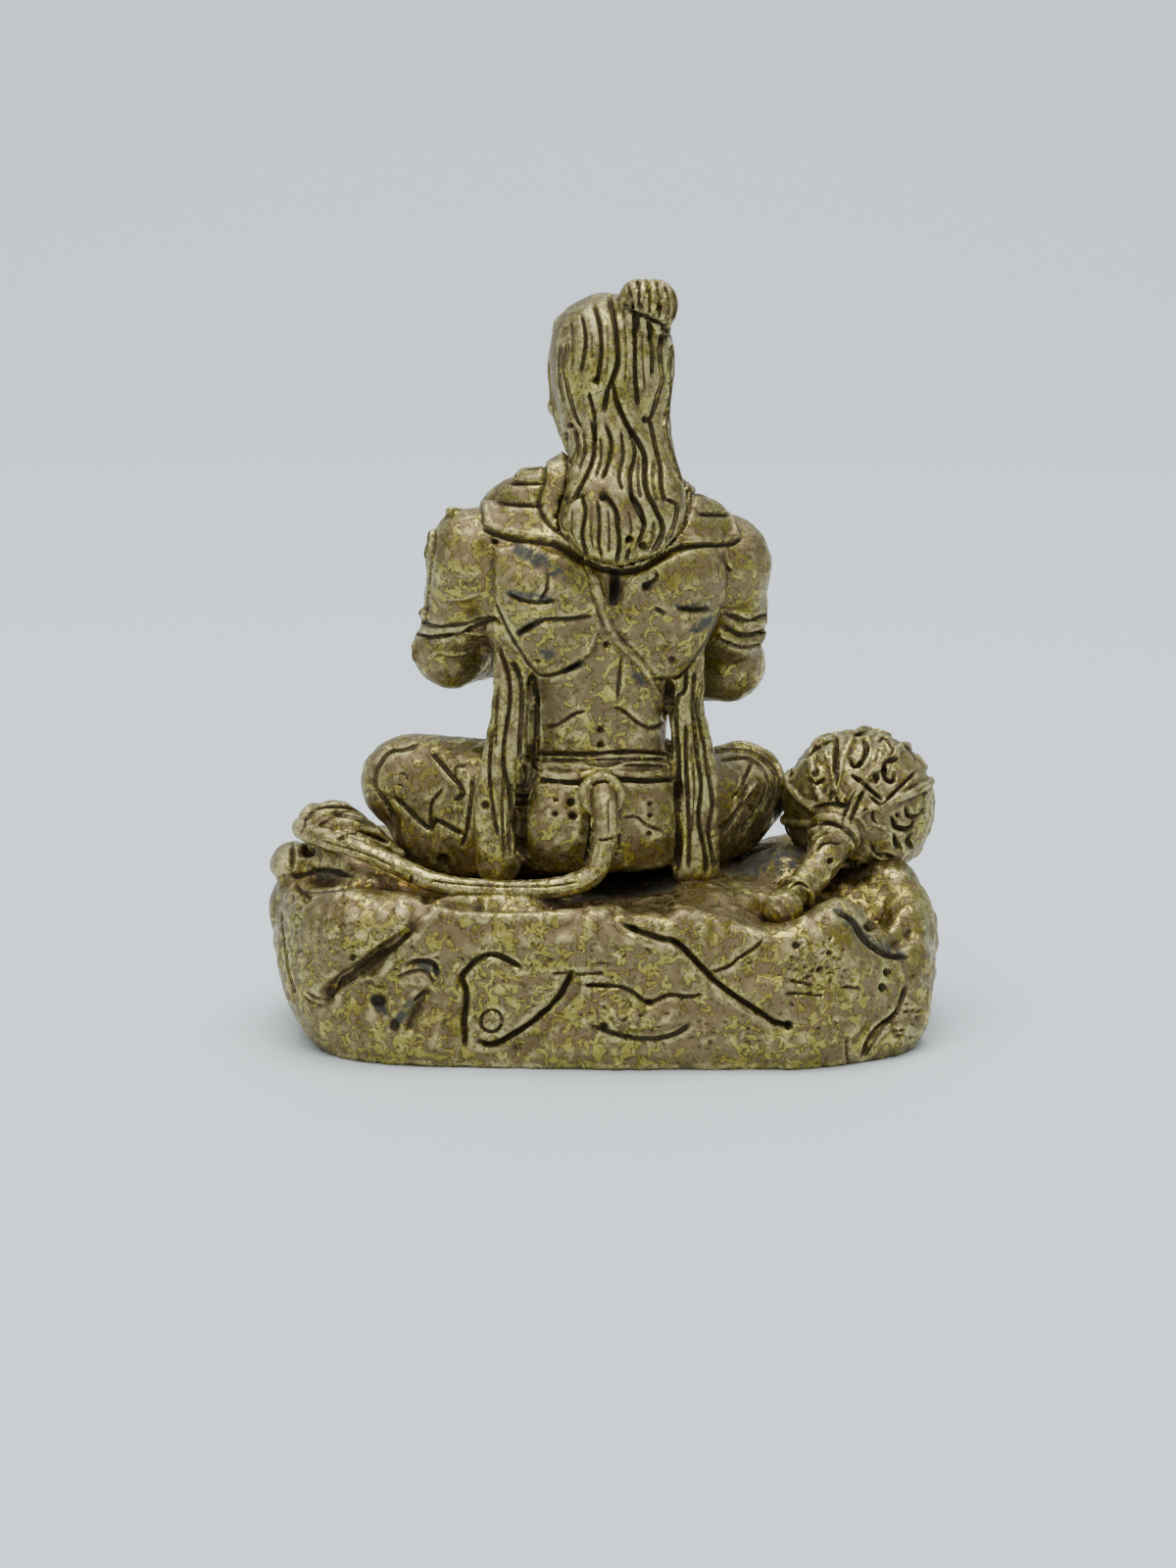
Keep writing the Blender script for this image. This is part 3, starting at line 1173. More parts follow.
def add_shawl(clay):
    for side in (LEFT, RIGHT):
        ends = SASHES[side]
        knee_turn = (ends["foot"][0], ends["foot"][1], 12.0)
        path = [ends["top"], ends["waist"], knee_turn, ends["foot"]]
        clay.add(bone(path, [0.6, 0.85, 1.05, 1.1], (TO_BACK, 0.65)), 0.15)
        chest = [(3.4, -1.2, 24.2), (3.9, -2.75, 21.0), (4.7, -2.5, 18.4), (4.6, 0.4, 18.2)]
        for fold in (-0.45, 0.0, 0.45):
            path = [mirrored(side, (x + fold, y, z)) for x, y, z in chest]
            clay.add(bone(path, [0.32, 0.4, 0.42, 0.4]), 0.1)
        yoke = [(0.6, 2.2, 25.9), (3.0, 1.4, 25.4), (4.3, -0.6, 24.4), (3.5, -1.9, 23.0)]
        clay.add(bone([mirrored(side, p) for p in yoke], [0.9, 0.95, 0.85, 0.6]), 0.4)


def shape_body(grain):
    clay = Clay((-11.2, -9.6, 6.4), (11.2, 6.4, 27.6), grain, figure=True)
    add_trunk(clay)
    for side in (LEFT, RIGHT):
        add_arm(clay, side)
        add_leg(clay, side)
    add_lap(clay)
    add_shawl(clay)
    clay.roughen(1.1, 0.05, 21)
    clay.roughen(0.5, 0.035, 22)
    keep_form("figure", "body", *clay.mesh())


# The head

HAIR = [
    (22.4, -0.1, 4.5, 0.5, 0.4),
    (23.0, -0.2, 4.4, 2.0, 1.0),
    (24.3, -0.4, 4.15, 2.9, 1.3),
    (25.8, -0.7, 3.65, 2.75, 1.35),
    (27.2, -0.8, 2.6, 2.45, 1.6),
    (29.0, -0.8, 1.2, 2.55, 2.45),
    (30.8, -0.85, 0.7, 2.8, 2.85),
    (32.3, -0.85, 0.6, 2.7, 2.75),
    (33.5, -0.8, 0.6, 2.05, 2.1),
    (34.2, -0.75, 0.6, 0.8, 0.85),
]


def shape_head(grain):
    clay = Clay((-5.2, -5.2, 21.6), (3.4, 6.0, 35.6), grain, figure=True)
    x, y, z = HEAD["x"], HEAD["y"], HEAD["z"]
    half = HEAD["half"]
    front = y - half[1]
    clay.add(bone([(-0.5, 0.7, 24.5), (-0.75, 0.5, 28.2)], [1.9, 1.75]), 0.01)
    clay.add(egg((x, y, z), half), 0.5)
    clay.add(loft(HAIR, 2.2), 0.3)
    clay.add(egg(BUN["centre"], (1.25, 1.25, 1.2)), 0.2)
    clay.add(egg((x, front + 0.75, z - 1.35), (1.35, 1.25, 1.15)), 0.45)
    clay.add(egg((x, front + 0.15, z - 1.0), (0.95, 0.8, 0.75)), 0.35)
    clay.add(egg((x, front + 1.1, z - 2.35), (0.95, 0.9, 0.6)), 0.4)
    for side in (LEFT, RIGHT):
        clay.add(egg((x + side * 1.3, front + 1.0, z - 0.75), (0.85, 0.8, 0.85)), 0.4)
        clay.cut(egg((x + side * 0.95, front + 0.15, z + 0.35), (0.6, 0.35, 0.42)), 0.3)
        clay.add(egg((x + side * 0.95, front + 0.5, z + 0.35), (0.5, 0.36, 0.33)), 0.06)
        lid = [(x + side * 0.45, front + 0.2, z + 0.24), (x + side * 0.95, front + 0.1, z + 0.14),
               (x + side * 1.45, front + 0.42, z + 0.26)]
        clay.cut(bone(lid, [0.06, 0.08, 0.06]), 0.05)
        brow = [(x + side * 0.15, front + 0.12, z + 0.72), (x + side * 0.95, front + 0.18, z + 1.0),
                (x + side * 1.85, front + 0.9, z + 0.7)]
        clay.add(bone(brow, [0.2, 0.26, 0.16]), 0.25)
        clay.add(egg((x + side * 0.27, front - 0.42, z - 0.78), (0.3, 0.26, 0.22)), 0.15)
        clay.cut(egg((x + side * 0.24, front - 0.66, z - 0.86), (0.11, 0.12, 0.08)), 0.05)
        ear = (x + side * 2.3, y - 0.35, z - 0.3)
        clay.add(egg(ear, (0.38, 0.8, 1.15), (0, side * 10, side * 18)), 0.15)
        clay.cut(egg((ear[0] + side * 0.4, ear[1] - 0.15, ear[2] + 0.1), (0.26, 0.42, 0.7)), 0.12)
        clay.add(egg((ear[0] + side * 0.05, ear[1] - 0.1, ear[2] - 1.3), (0.42, 0.42, 0.55)), 0.1)
    clay.add(bone([(x, front + 0.3, z + 0.5), (x, front - 0.2, z - 0.45)], [0.28, 0.34]), 0.25)
    mouth = [(x - 0.95, front + 0.3, z - 1.5), (x - 0.45, front - 0.42, z - 1.62), (x, front - 0.62, z - 1.58),
             (x + 0.45, front - 0.42, z - 1.62), (x + 0.95, front + 0.3, z - 1.5)]
    clay.cut(bone(mouth, [0.08, 0.09, 0.1, 0.09, 0.08]), 0.1)
    lip = [(px, py + 0.12, pz - 0.22) for px, py, pz in mouth[1:4]]
    clay.add(bone(lip, [0.14, 0.2, 0.14]), 0.12)
    clay.cut(bone([(x, front - 0.55, z - 1.05), (x, front - 0.66, z - 1.45)], [0.05, 0.06]), 0.08)
    clay.roughen(0.6, 0.03, 31)
    keep_form("head_and_hair", "head", *clay.mesh())


# The hair's partings, in pixels of the photograph: path, half width in pixels, depth in mm
CROWN_PARTINGS = [
    ([(593, 322), (597, 347), (594, 368), (592, 380)], 1.4, 0.26),
    ([(606, 311), (611, 329), (613, 350), (612, 370), (608, 392)], 1.6, 0.34),
    ([(622, 302), (627, 324), (630, 347), (631, 368), (626, 385), (619, 403), (616, 420)], 2.1, 0.42),
    ([(643, 312), (648, 329), (649, 355), (649, 383), (652, 414)], 1.7, 0.36),
    ([(661, 322), (664, 342), (667, 360), (666, 384)], 1.6, 0.34),
    ([(678, 335), (675, 355), (676, 373), (677, 388), (672, 406), (665, 429)], 1.6, 0.34),
    ([(578, 350), (575, 375), (579, 400), (586, 424), (592, 436)], 1.5, 0.28),
    ([(582, 330), (584, 355), (583, 375)], 1.1, 0.18),
    ([(600, 400), (606, 425), (606, 452)], 1.3, 0.24),
    ([(687, 352), (684, 380), (686, 400), (680, 430)], 1.4, 0.26),
    ([(620, 330), (620, 360), (619, 384)], 0.9, 0.12),
    ([(638, 330), (640, 360), (638, 392)], 0.9, 0.12),
    ([(657, 340), (657, 372), (659, 400)], 0.9, 0.12),
    ([(603, 340), (603, 366)], 0.9, 0.12),
    ([(571, 352), (570, 385), (574, 410)], 1.2, 0.2),
]
NAPE_PARTINGS = [
    ([(625, 391), (631, 413), (641, 434), (652, 449), (659, 465), (659, 485), (662, 503), (672, 523), (678, 539),
      (674, 554), (667, 565)], 2.0, 0.42),
    ([(664, 427), (670, 454), (675, 475), (676, 495), (680, 512)], 1.6, 0.34),
    ([(603, 429), (606, 452), (603, 472), (593, 493), (584, 507)], 1.6, 0.34),
    ([(618, 433), (624, 452), (621, 470), (615, 487)], 1.5, 0.3),
    ([(585, 436), (588, 457), (580, 477), (572, 496)], 1.5, 0.3),
    ([(644, 438), (649, 462), (644, 482), (645, 503), (652, 521), (660, 537)], 1.6, 0.34),
    ([(686, 414), (680, 434), (685, 457), (690, 475), (696, 492)], 1.4, 0.28),
    ([(634, 440), (636, 465), (632, 486), (636, 500)], 1.2, 0.2),
    ([(594, 440), (596, 460), (590, 478)], 1.1, 0.18),
    ([(612, 445), (613, 466), (608, 486)], 1.1, 0.18),
    ([(668, 470), (668, 495), (672, 512)], 1.1, 0.18),
    ([(653, 462), (652, 490), (655, 508)], 1.1, 0.18),
    ([(577, 440), (576, 462), (568, 484)], 1.2, 0.22),
]
TIP_PARTINGS = [
    ([(598, 503), (583, 508), (575, 521), (574, 539), (580, 557), (590, 568)], 1.6, 0.34),
    ([(593, 505), (597, 521), (594, 546), (597, 569)], 1.5, 0.32),
    ([(619, 505), (629, 521), (631, 539), (633, 557), (629, 576)], 1.8, 0.4),
    ([(578, 505), (567, 516), (565, 534), (573, 554), (584, 568)], 1.5, 0.3),
    ([(644, 503), (654, 518), (658, 537), (650, 560)], 1.6, 0.34),
    ([(610, 512), (612, 535), (611, 554), (614, 570)], 1.3, 0.26),
    ([(644, 559), (639, 573)], 1.4, 0.3),
    ([(680, 508), (692, 516), (689, 536), (682, 554)], 1.5, 0.3),
    ([(604, 515), (603, 540), (605, 560)], 1.0, 0.14),
    ([(621, 520), (622, 545), (621, 565)], 1.0, 0.14),
    ([(642, 520), (645, 540), (641, 556)], 1.0, 0.14),
    ([(668, 530), (667, 548), (660, 564)], 1.1, 0.2),
    ([(583, 520), (583, 545), (590, 560)], 1.0, 0.14),
]
HAIR_PITS = [
    ((616, 506), 3.6, 0.4),
    ((643, 551), 3.0, 0.4),
    ((657, 558), 3.2, 0.4),
    ((607, 388), 2.4, 0.25),
    ((660, 428), 3.0, 0.3),
    ((581, 434), 2.4, 0.3),
    ((680, 338), 3.4, 0.35),
]
BUN_PARTINGS = [
    ([(640, 290), (643, 303), (646, 316)], 1.2, 0.2),
    ([(650, 284), (652, 300), (653, 318)], 1.3, 0.24),
    ([(660, 282), (662, 300), (663, 322)], 1.3, 0.24),
    ([(670, 284), (673, 302), (673, 326)], 1.3, 0.24),
    ([(679, 290), (683, 306), (681, 328)], 1.3, 0.22),
    ([(687, 298), (690, 312), (687, 328)], 1.2, 0.2),
    ([(637, 312), (646, 320), (656, 323), (668, 329), (682, 332)], 1.9, 0.35),
    ([(640, 286), (646, 282), (655, 280)], 1.2, 0.14),
]
BUN_LOCKS = 9


def carve_hair(marks, front):
    for path, width, depth in CROWN_PARTINGS + NAPE_PARTINGS + TIP_PARTINGS:
        marks.line(path, width, depth, 0.4)
    for path, width, depth in BUN_PARTINGS:
        marks.line(path, width, depth, 0.3)
    for place, radius, depth in HAIR_PITS:
        marks.pit(place, radius, depth)


def lay_hair():
    front = []
    for side in (LEFT, RIGHT):
        for number in range(5):
            away = 0.25 + number * 0.42
            path = [
                (HEAD["x"] + side * away * 0.5, 0.3, 34.0),
                (HEAD["x"] + side * away, -1.3, 33.2 - away * 0.15),
                (HEAD["x"] + side * (away + 0.2), -2.05 + away * 0.25, 32.1 - away * 0.1),
            ]
            front.append(tapered(to_base(path), 0.3, 0.6, 0.7))
        for number in range(4):
            y = -1.1 + number * 0.55
            path = [
                (HEAD["x"] + side * 1.2, 0.1 + y * 0.5, 33.5),
                (HEAD["x"] + side * 2.15, y * 0.9, 32.1),
                (HEAD["x"] + side * 2.35, y + 0.1, 30.4),
                (HEAD["x"] + side * 2.2, y + 0.5, 28.6),
                (HEAD["x"] + side * 1.95, y * 0.7 + 1.2, 27.0),
            ]
            front.append(tapered(to_base(path), 0.32, 0.6, 0.5))
    strands("head_and_hair", "front_locks", front)
    bun = []
    centre, radius = np.array(BUN["centre"]), BUN["radius"]
    for number in range(BUN_LOCKS):
        turn = 2 * math.pi * number / BUN_LOCKS
        path = []
        for step in np.linspace(0.12, 0.9, 7) * math.pi:
            out = math.sin(step) * (radius - 0.42)
            swirl = turn + 0.5 * math.cos(step)
            path.append(centre + (math.cos(swirl) * out, math.sin(swirl) * out, math.cos(step) * (radius - 0.42)))
        bun.append(tapered(to_base(path), 0.42, 0.8, 0.7))
    tie = [centre + (0.95 * math.cos(a), 0.95 * math.sin(a) - 0.3, -1.05) for a in np.linspace(0, 2 * math.pi, 12)]
    bun.append(tapered(to_base(tie), 0.24, 1, 1))
    lobe = laid_on(form_tree("head"), [(628, 297), (634, 290), (641, 284)], 0.1)
    bun.append(tapered(lobe, 0.4, 0.8, 0.8))
    strands("head_and_hair", "bun", bun)


# Dress: belt, thread, collar knot, armlets, shawl folds, beads

THREAD = [(595, 569), (603, 587), (607, 603), (614, 621), (621, 639), (632, 656), (645, 670), (658, 686), (673, 712), (680, 728)]
BELT_BANDS = [
    [(548, 772), (600, 776), (640, 773), (680, 774)],
    [(547, 780), (590, 782), (620, 786), (650, 779), (682, 782)],
    [(548, 789), (585, 792), (615, 788), (645, 791), (683, 789)],
    [(549, 783), (566, 779), (586, 784), (590, 790), (572, 795), (551, 791)],
]
ARM_CORDS = [
    ([(483, 517), (466, 521), (451, 529), (442, 543), (436, 567), (431, 597), (427, 612)], 0.17),
    ([(427, 615), (424, 625), (432, 626), (438, 630)], 0.26),
    ([(425, 634), (423, 658), (425, 686), (432, 700)], 0.15),
    ([(457, 612), (472, 611), (491, 605), (498, 602)], 0.08),
    ([(458, 651), (472, 645), (491, 647), (498, 642)], 0.12),
    ([(437, 672), (448, 665), (463, 668), (481, 664)], 0.1),
    ([(736, 625), (752, 626), (773, 636), (790, 632)], 0.1),
    ([(734, 648), (754, 656), (778, 654), (793, 648)], 0.2),
    ([(730, 763), (754, 759), (776, 765), (791, 776), (799, 798), (799, 819)], 0.14),
    ([(437, 769), (448, 782), (459, 795), (467, 803), (468, 809), (462, 813)], 0.12),
    ([(755, 787), (757, 798), (752, 811)], 0.14),
    ([(741, 836), (760, 814), (773, 798)], 0.1),
]


def level_ring(centre, radii, z_of=lambda a: 0.0, count=26):
    """Places round a level oval, in the figure's frame, with a height that may change with the angle."""
    places = []
    for a in np.linspace(0, 2 * math.pi, count):
        places.append((centre[0] + radii[0] * math.cos(a), centre[1] + radii[1] * math.sin(a), centre[2] + z_of(a)))
    return places


def tilted_ring(centre, axis, radius, count=20):
    """Places round a circle about an axis."""
    axis = Vector(axis).normalized()
    side = axis.orthogonal().normalized()
    other = axis.cross(side)
    return [
        np.array(Vector(centre) + (side * math.cos(a) + other * math.sin(a)) * radius)
        for a in np.linspace(0, 2 * math.pi, count)
    ]


def lay_dress():
    tree = form_tree("body", "head")
    cords = [tapered(laid_on(tree, smooth_path(p, 13), 0.02), r, 0.6, 0.7) for p, r in ARM_CORDS]
    strands("figure", "arm_cords", cords, 0.15)
    paths = [tapered(laid_on(tree, smooth_path(THREAD, 15), 0.0), 0.15, 0.8, 0.8)]
    chest = [(2.6, -2.2, 23.4), (1.0, -2.75, 20.6), (-1.0, -2.55, 17.4), (-2.9, -1.6, 15.0)]
    paths.append(tapered(to_base(chest), 0.16, 1, 1))
    for pixels in BELT_BANDS:
        paths.append(tapered(laid_on(tree, smooth_path(pixels, 13), 0.03), 0.17, 0.9, 0.9))
    for rise, out in ((-0.55, 0.1), (0.0, 0.16), (0.5, 0.05)):
        front = [p for p in level_ring((0.15, 1.5, BELT_Z + rise), (3.55 + out, 2.75 + out)) if p[1] < 2.4]
        front.sort(key=lambda p: math.atan2(p[0] - 0.15, 1.5 - p[1]))
        paths.append(tapered(to_base(front), 0.2, 1, 1))
    for side in (LEFT, RIGHT):
        wrist = mirrored(side, (1.5, -4.1, 18.2))
        for step in (0.0, 0.32):
            at = (wrist[0] + side * step, wrist[1] + step * 0.4, wrist[2] - step * 0.1)
            paths.append(tapered(to_base(tilted_ring(at, (side * 3.3, 1.1, -0.6), 0.92)), 0.17, 1, 1))
        ankle = SHINS[side]["ankle"]
        lower = SHINS[side]["middle"]
        way = np.array(lower) - np.array(ankle)
        at = np.array(ankle) + way / np.linalg.norm(way) * 0.5
        paths.append(tapered(to_base(tilted_ring(at, way, 1.05)), 0.2, 1, 1))
    strands("figure", "thread_and_bands", paths, 0.18)
    necklace = []
    for swing in np.linspace(-1.35, 1.35, 13):
        drop = math.cos(swing)
        necklace.append((-0.2 + 3.0 * math.sin(swing), -0.5 - 1.85 * drop, 24.4 - 2.1 * drop))
    beads("figure", "necklace", [to_base(necklace)], 0.56, 0.3)
    band = []
    x, y, z = HEAD["x"], HEAD["y"], HEAD["z"]
    for a in np.linspace(math.radians(170), math.radians(370), 17):
        band.append((x + 2.42 * math.cos(a), y + 0.2 + 2.62 * math.sin(a), z + 1.75 - 0.25 * math.sin(a)))
    beads("head_and_hair", "head_band_beads", [to_base([(px, py - 0.1, pz + 0.28) for px, py, pz in band])], 0.4, 0.17)
    strands("head_and_hair", "head_band", [tapered(to_base(band), 0.24, 1, 1)])


# The mace and the tail, in the statue's frame

MACE_RIB_START = 3.5
MACE_RIB_TURN = 3.6
HANDLE = [
    (-11.2, -0.2, 9.9),
    (-10.75, 1.2, 9.35),
    (-10.1, 2.5, 8.2),
    (-9.0, 4.2, 7.3),
    (-8.15, 5.6, 6.8),
]
MACE_CORDS = [
    ([(858, 764), (858, 782), (858, 801)], 0.07),
    ([(848, 764), (848, 782), (849, 801)], 0.07),
    ([(936, 791), (917, 808), (898, 829)], 0.13),
    ([(877, 803), (870, 818), (864, 837), (861, 845)], 0.13),
    ([(840, 820), (850, 802), (866, 821)], 0.1),
    ([(833, 831), (846, 827), (864, 830)], 0.14),
    ([(829, 858), (836, 850), (847, 847), (861, 851)], 0.15),
    ([(831, 864), (838, 856), (848, 853), (860, 857)], 0.12),
    ([(818, 816), (826, 819), (834, 821)], 0.12),
    ([(822, 788), (826, 781), (833, 781), (838, 788), (833, 794), (825, 793)], 0.12),
    ([(831, 774), (834, 771), (838, 774), (834, 778)], 0.08),
    ([(886, 752), (888, 766), (885, 777), (878, 785)], 0.12),
    ([(873, 773), (876, 777), (880, 774)], 0.1),
    ([(917, 771), (909, 773), (905, 780), (905, 789)], 0.12),
    ([(908, 785), (912, 787), (914, 784)], 0.1),
    ([(894, 765), (890, 780), (886, 794)], 0.1),
    ([(899, 768), (895, 784), (892, 796)], 0.09),
    ([(871, 751), (878, 754), (887, 751), (891, 745)], 0.1),
    ([(899, 760), (904, 758), (908, 765), (905, 770)], 0.1),
    ([(929, 824), (931, 830), (938, 829), (946, 819)], 0.12),
    ([(912, 832), (917, 840), (928, 840), (931, 832)], 0.12),
    ([(921, 849), (918, 857), (921, 865)], 0.12),
    ([(936, 851), (930, 858), (934, 865)], 0.12),
    ([(892, 838), (896, 843), (904, 845)], 0.1),
    ([(891, 867), (897, 876), (907, 877), (916, 886)], 0.1),
    ([(867, 832), (878, 835), (885, 848)], 0.1),
    ([(812, 762), (820, 755), (830, 748)], 0.12),
    ([(836, 745), (830, 752), (838, 757)], 0.1),
    ([(815, 775), (808, 768), (816, 762)], 0.1),
    ([(806, 781), (812, 790), (806, 798)], 0.12),
    ([(940, 800), (946, 808), (943, 816)], 0.1),
    ([(864, 907), (875, 905), (888, 908)], 0.1),
]
MACE_LINES = [
    ([(853, 755), (853, 778), (854, 801)], 2.0, 0.4),
    ([(823, 773), (836, 761), (853, 754)], 1.3, 0.25),
    ([(870, 791), (884, 802), (899, 815)], 1.6, 0.35),
    ([(888, 812), (899, 821)], 1.5, 0.3),
    ([(934, 788), (915, 806), (899, 822)], 1.2, 0.25),
    ([(872, 806), (866, 820), (859, 840)], 1.1, 0.2),
    ([(882, 806), (874, 822), (868, 842)], 1.1, 0.2),
    ([(882, 756), (884, 765), (880, 775), (875, 781), (870, 780), (868, 774)], 1.9, 0.35),
    ([(915, 774), (906, 777), (902, 786), (904, 794), (911, 797), (913, 790)], 1.9, 0.35),
    ([(893, 785), (890, 797)], 2.0, 0.35),
    ([(897, 788), (894, 798)], 1.8, 0.35),
    ([(868, 748), (876, 749), (884, 746)], 1.2, 0.22),
    ([(897, 756), (903, 753), (911, 765), (908, 771)], 1.2, 0.22),
    ([(921, 757), (930, 768), (935, 778)], 1.3, 0.22),
    ([(925, 823), (926, 832), (935, 833), (944, 823)], 1.5, 0.3),
    ([(910, 834), (914, 844), (928, 845), (934, 835)], 1.5, 0.3),
    ([(913, 851), (914, 862), (918, 866)], 1.6, 0.3),
    ([(931, 851), (926, 858), (930, 865)], 1.6, 0.3),
    ([(891, 829), (891, 836), (896, 841)], 1.2, 0.2),
    ([(889, 863), (895, 872), (906, 873), (916, 882), (919, 893)], 1.3, 0.22),
    ([(845, 819), (850, 808), (855, 820)], 1.5, 0.25),
    ([(826, 796), (832, 799), (840, 795)], 1.7, 0.3),
    ([(831, 824), (846, 820), (864, 822)], 1.4, 0.25),
    ([(830, 845), (846, 840), (862, 845)], 1.3, 0.22),
    ([(832, 868), (842, 860), (858, 861)], 1.2, 0.2),
    ([(805, 905), (815, 901), (826, 907)], 1.2, 0.2),
    ([(854, 890), (870, 884), (892, 890)], 4.0, 0.3),
    ([(865, 902), (876, 900), (889, 903)], 1.3, 0.22),
    ([(800, 752), (812, 748), (824, 742)], 1.2, 0.2),
    ([(838, 742), (848, 745), (850, 752)], 1.3, 0.22),
]
MACE_PITS = [
    ((848, 878), 2.4, 0.3),
    ((883, 826), 2.0, 0.25),
    ((910, 914), 4.6, 0.5),
    ((830, 789), 2.4, 0.3),
    ((916, 832), 1.8, 0.25),
]


def carve_mace(marks, front):
    for path, width, depth in MACE_LINES:
        marks.line(path, width, depth)
    for place, radius, depth in MACE_PITS:
        marks.pit(place, radius, depth)


def mace_place(polar, round_angle, lift=0.0):
    """A place on the mace's ball: degrees from the handle, and degrees round it."""
    centre = Vector(MACE["centre"])
    pole = (Vector(HANDLE[0]) - centre).normalized()
    side = pole.cross(Vector(UP)).normalized()
    other = pole.cross(side)
    a, b = math.radians(polar), math.radians(round_angle)
    way = pole * math.cos(a) + (side * math.cos(b) + other * math.sin(b)) * math.sin(a)
    return np.array(centre + way * (MACE["radius"] - 0.12 + lift))


def far_scrolls():
    """C-shaped scrolls in the panels between the ribs of the mace's far side."""
    paths = []
    for number in range(MACE["ribs"]):
        middle = 360 / MACE["ribs"] * (number + 0.5)
        for polar, hand in ((62, 1), (88, -1), (114, 1), (140, -1)):
            places = []
            for a in np.linspace(0.3, 1.7, 7) * math.pi:
                places.append(mace_place(polar + 8 * math.sin(a), middle + hand * 8 * math.cos(a)))
            if min(p[1] for p in places) < MACE["centre"][1] - 0.6:
                paths.append(tapered(places, 0.15, 0.8, 0.8))
    return paths


def shape_mace(grain):
    clay = Clay((-17.0, -7.2, 4.6), (-6.6, 7.0, 14.6), grain)
    centre, radius = MACE["centre"], MACE["radius"]
    clay.add(egg(centre, (radius - 0.15,) * 3), 0.01)
    clay.add(bone(HANDLE, [1.15, 1.05, 0.85, 0.72, 0.7], None, 18), 0.3)
    clay.add(egg(HANDLE[-1], (0.95, 0.95, 0.9)), 0.1)
    clay.roughen(0.55, 0.08, 41)
    clay.roughen(0.28, 0.03, 42)
    keep_form("mace", "mace", *clay.mesh())
    pole = np.array(HANDLE[0]) - np.array(centre)
    turn = Vector(TO_BACK).rotation_difference(Vector(pole))
    source = bpy.data.objects.new("mace_ribs", bpy.data.meshes.new("mace_ribs"))
    sizes = {"Ribs": 6, "Ball radius": radius - 0.12, "Rib radius": 0.2, "Start": MACE_RIB_START}
    grown("mace", "mace_ribs", source, rib_tree, sizes)
    piece, label, points, faces = FORMS.pop()
    points = np.array([turn @ Vector(p) for p in points]) + centre
    keep_form(piece, label, points, faces)
    tree = form_tree("mace")
    paths = [tapered(laid_on(tree, smooth_path(p, 11), 0.0), r, 0.7, 0.7) for p, r in MACE_CORDS]
    paths += far_scrolls()
    track = smooth_path(HANDLE, 40)
    for at, out, size in ((4, 1.12, 0.3), (10, 1.05, 0.24), (13, 0.98, 0.2), (31, 0.78, 0.2)):
        way = track[at + 1] - track[at - 1]
        paths.append(tapered(tilted_ring(track[at], way, out), size, 1, 1))
    end = np.array(HANDLE[-1])
    way = np.array(HANDLE[-1]) - np.array(HANDLE[-2])
    way = way / np.linalg.norm(way)
    for out, ahead, size in ((0.72, 0.5, 0.16), (0.4, 0.78, 0.13)):
        paths.append(tapered(tilted_ring(end + way * ahead, way, out), size, 1, 1))
    strands("mace", "mace_scrolls", paths, 0.12)


TAIL = [
    (0.05, 4.9, 12.1, 0.6),
    (-0.1, 5.9, 11.2, 0.56),
    (-0.05, 6.1, 9.9, 0.54),
    (0.5, 6.5, 8.5, 0.52),
    (2.4, 6.8, 7.95, 0.5),
    (5.2, 6.7, 7.9, 0.48),
    (7.6, 6.3, 8.15, 0.46),
    (9.4, 5.5, 8.75, 0.46),
    (11.4, 4.4, 9.35, 0.46),
    (13.1, 3.2, 9.6, 0.46),
    (14.0, 1.6, 9.7, 0.45),
    (13.2, 0.3, 9.9, 0.4),
]
TUFT = [
    [(13.9, 1.2, 9.4, 0.35), (13.4, 0.2, 9.85, 0.75), (12.3, -1.2, 9.2, 0.2)],
    [(13.9, 1.4, 9.4, 0.35), (12.4, 0.8, 10.15, 0.7), (10.4, 0.6, 8.9, 0.2)],
    [(13.8, 1.6, 9.3, 0.35), (11.6, 1.7, 9.75, 0.65), (9.2, 1.8, 8.4, 0.15)],
    [(13.6, 1.8, 9.0, 0.3), (11.4, 2.6, 9.2, 0.5), (9.6, 2.6, 8.4, 0.12)],
    [(13.4, 0.8, 9.6, 0.3), (12.0, -0.2, 9.9, 0.5), (10.6, -0.8, 8.9, 0.15)],
]


def lay_tail():
    paths = [TAIL] + TUFT
    ring = tilted_ring((0.05, 4.95, 11.9), (0.0, 1.0, 0.32), 0.8, 16)
    paths.append(tapered(ring, 0.3, 1, 1))
    strands("tail", "tail", paths, 0.22, 10)


# The casting: all forms joined in one skin, worn, and thinned to a size that travels


def joined_forms(piece):
    points, faces, start = [], [], 0
    for owner, _, p, f in FORMS:
        if owner == piece:
            points.append(p)
            faces += [[int(i) + start for i in face] for face in f]
            start += len(p)
    return new_mesh(piece, np.vstack(points), faces)


def modified(mesh, kind, settings):
    """A mesh with one modifier applied."""
    holder = bpy.data.objects.new("holder", mesh)
    bpy.context.scene.collection.objects.link(holder)
    modifier = holder.modifiers.new(kind, kind)
    for key, value in settings.items():
        setattr(modifier, key, value)
    bpy.context.view_layer.update()
    depsgraph = bpy.context.evaluated_depsgraph_get()
    made = bpy.data.meshes.new_from_object(holder.evaluated_get(depsgraph))
    bpy.data.objects.remove(holder)
    bpy.data.meshes.remove(mesh)
    return made


def read_points(mesh):
    flat = np.empty(len(mesh.vertices) * 3)
    mesh.vertices.foreach_get("co", flat)
    return flat.reshape(-1, 3)


def write_points(mesh, points):
    mesh.vertices.foreach_set("co", points.astype(np.float32).ravel())
    mesh.update()


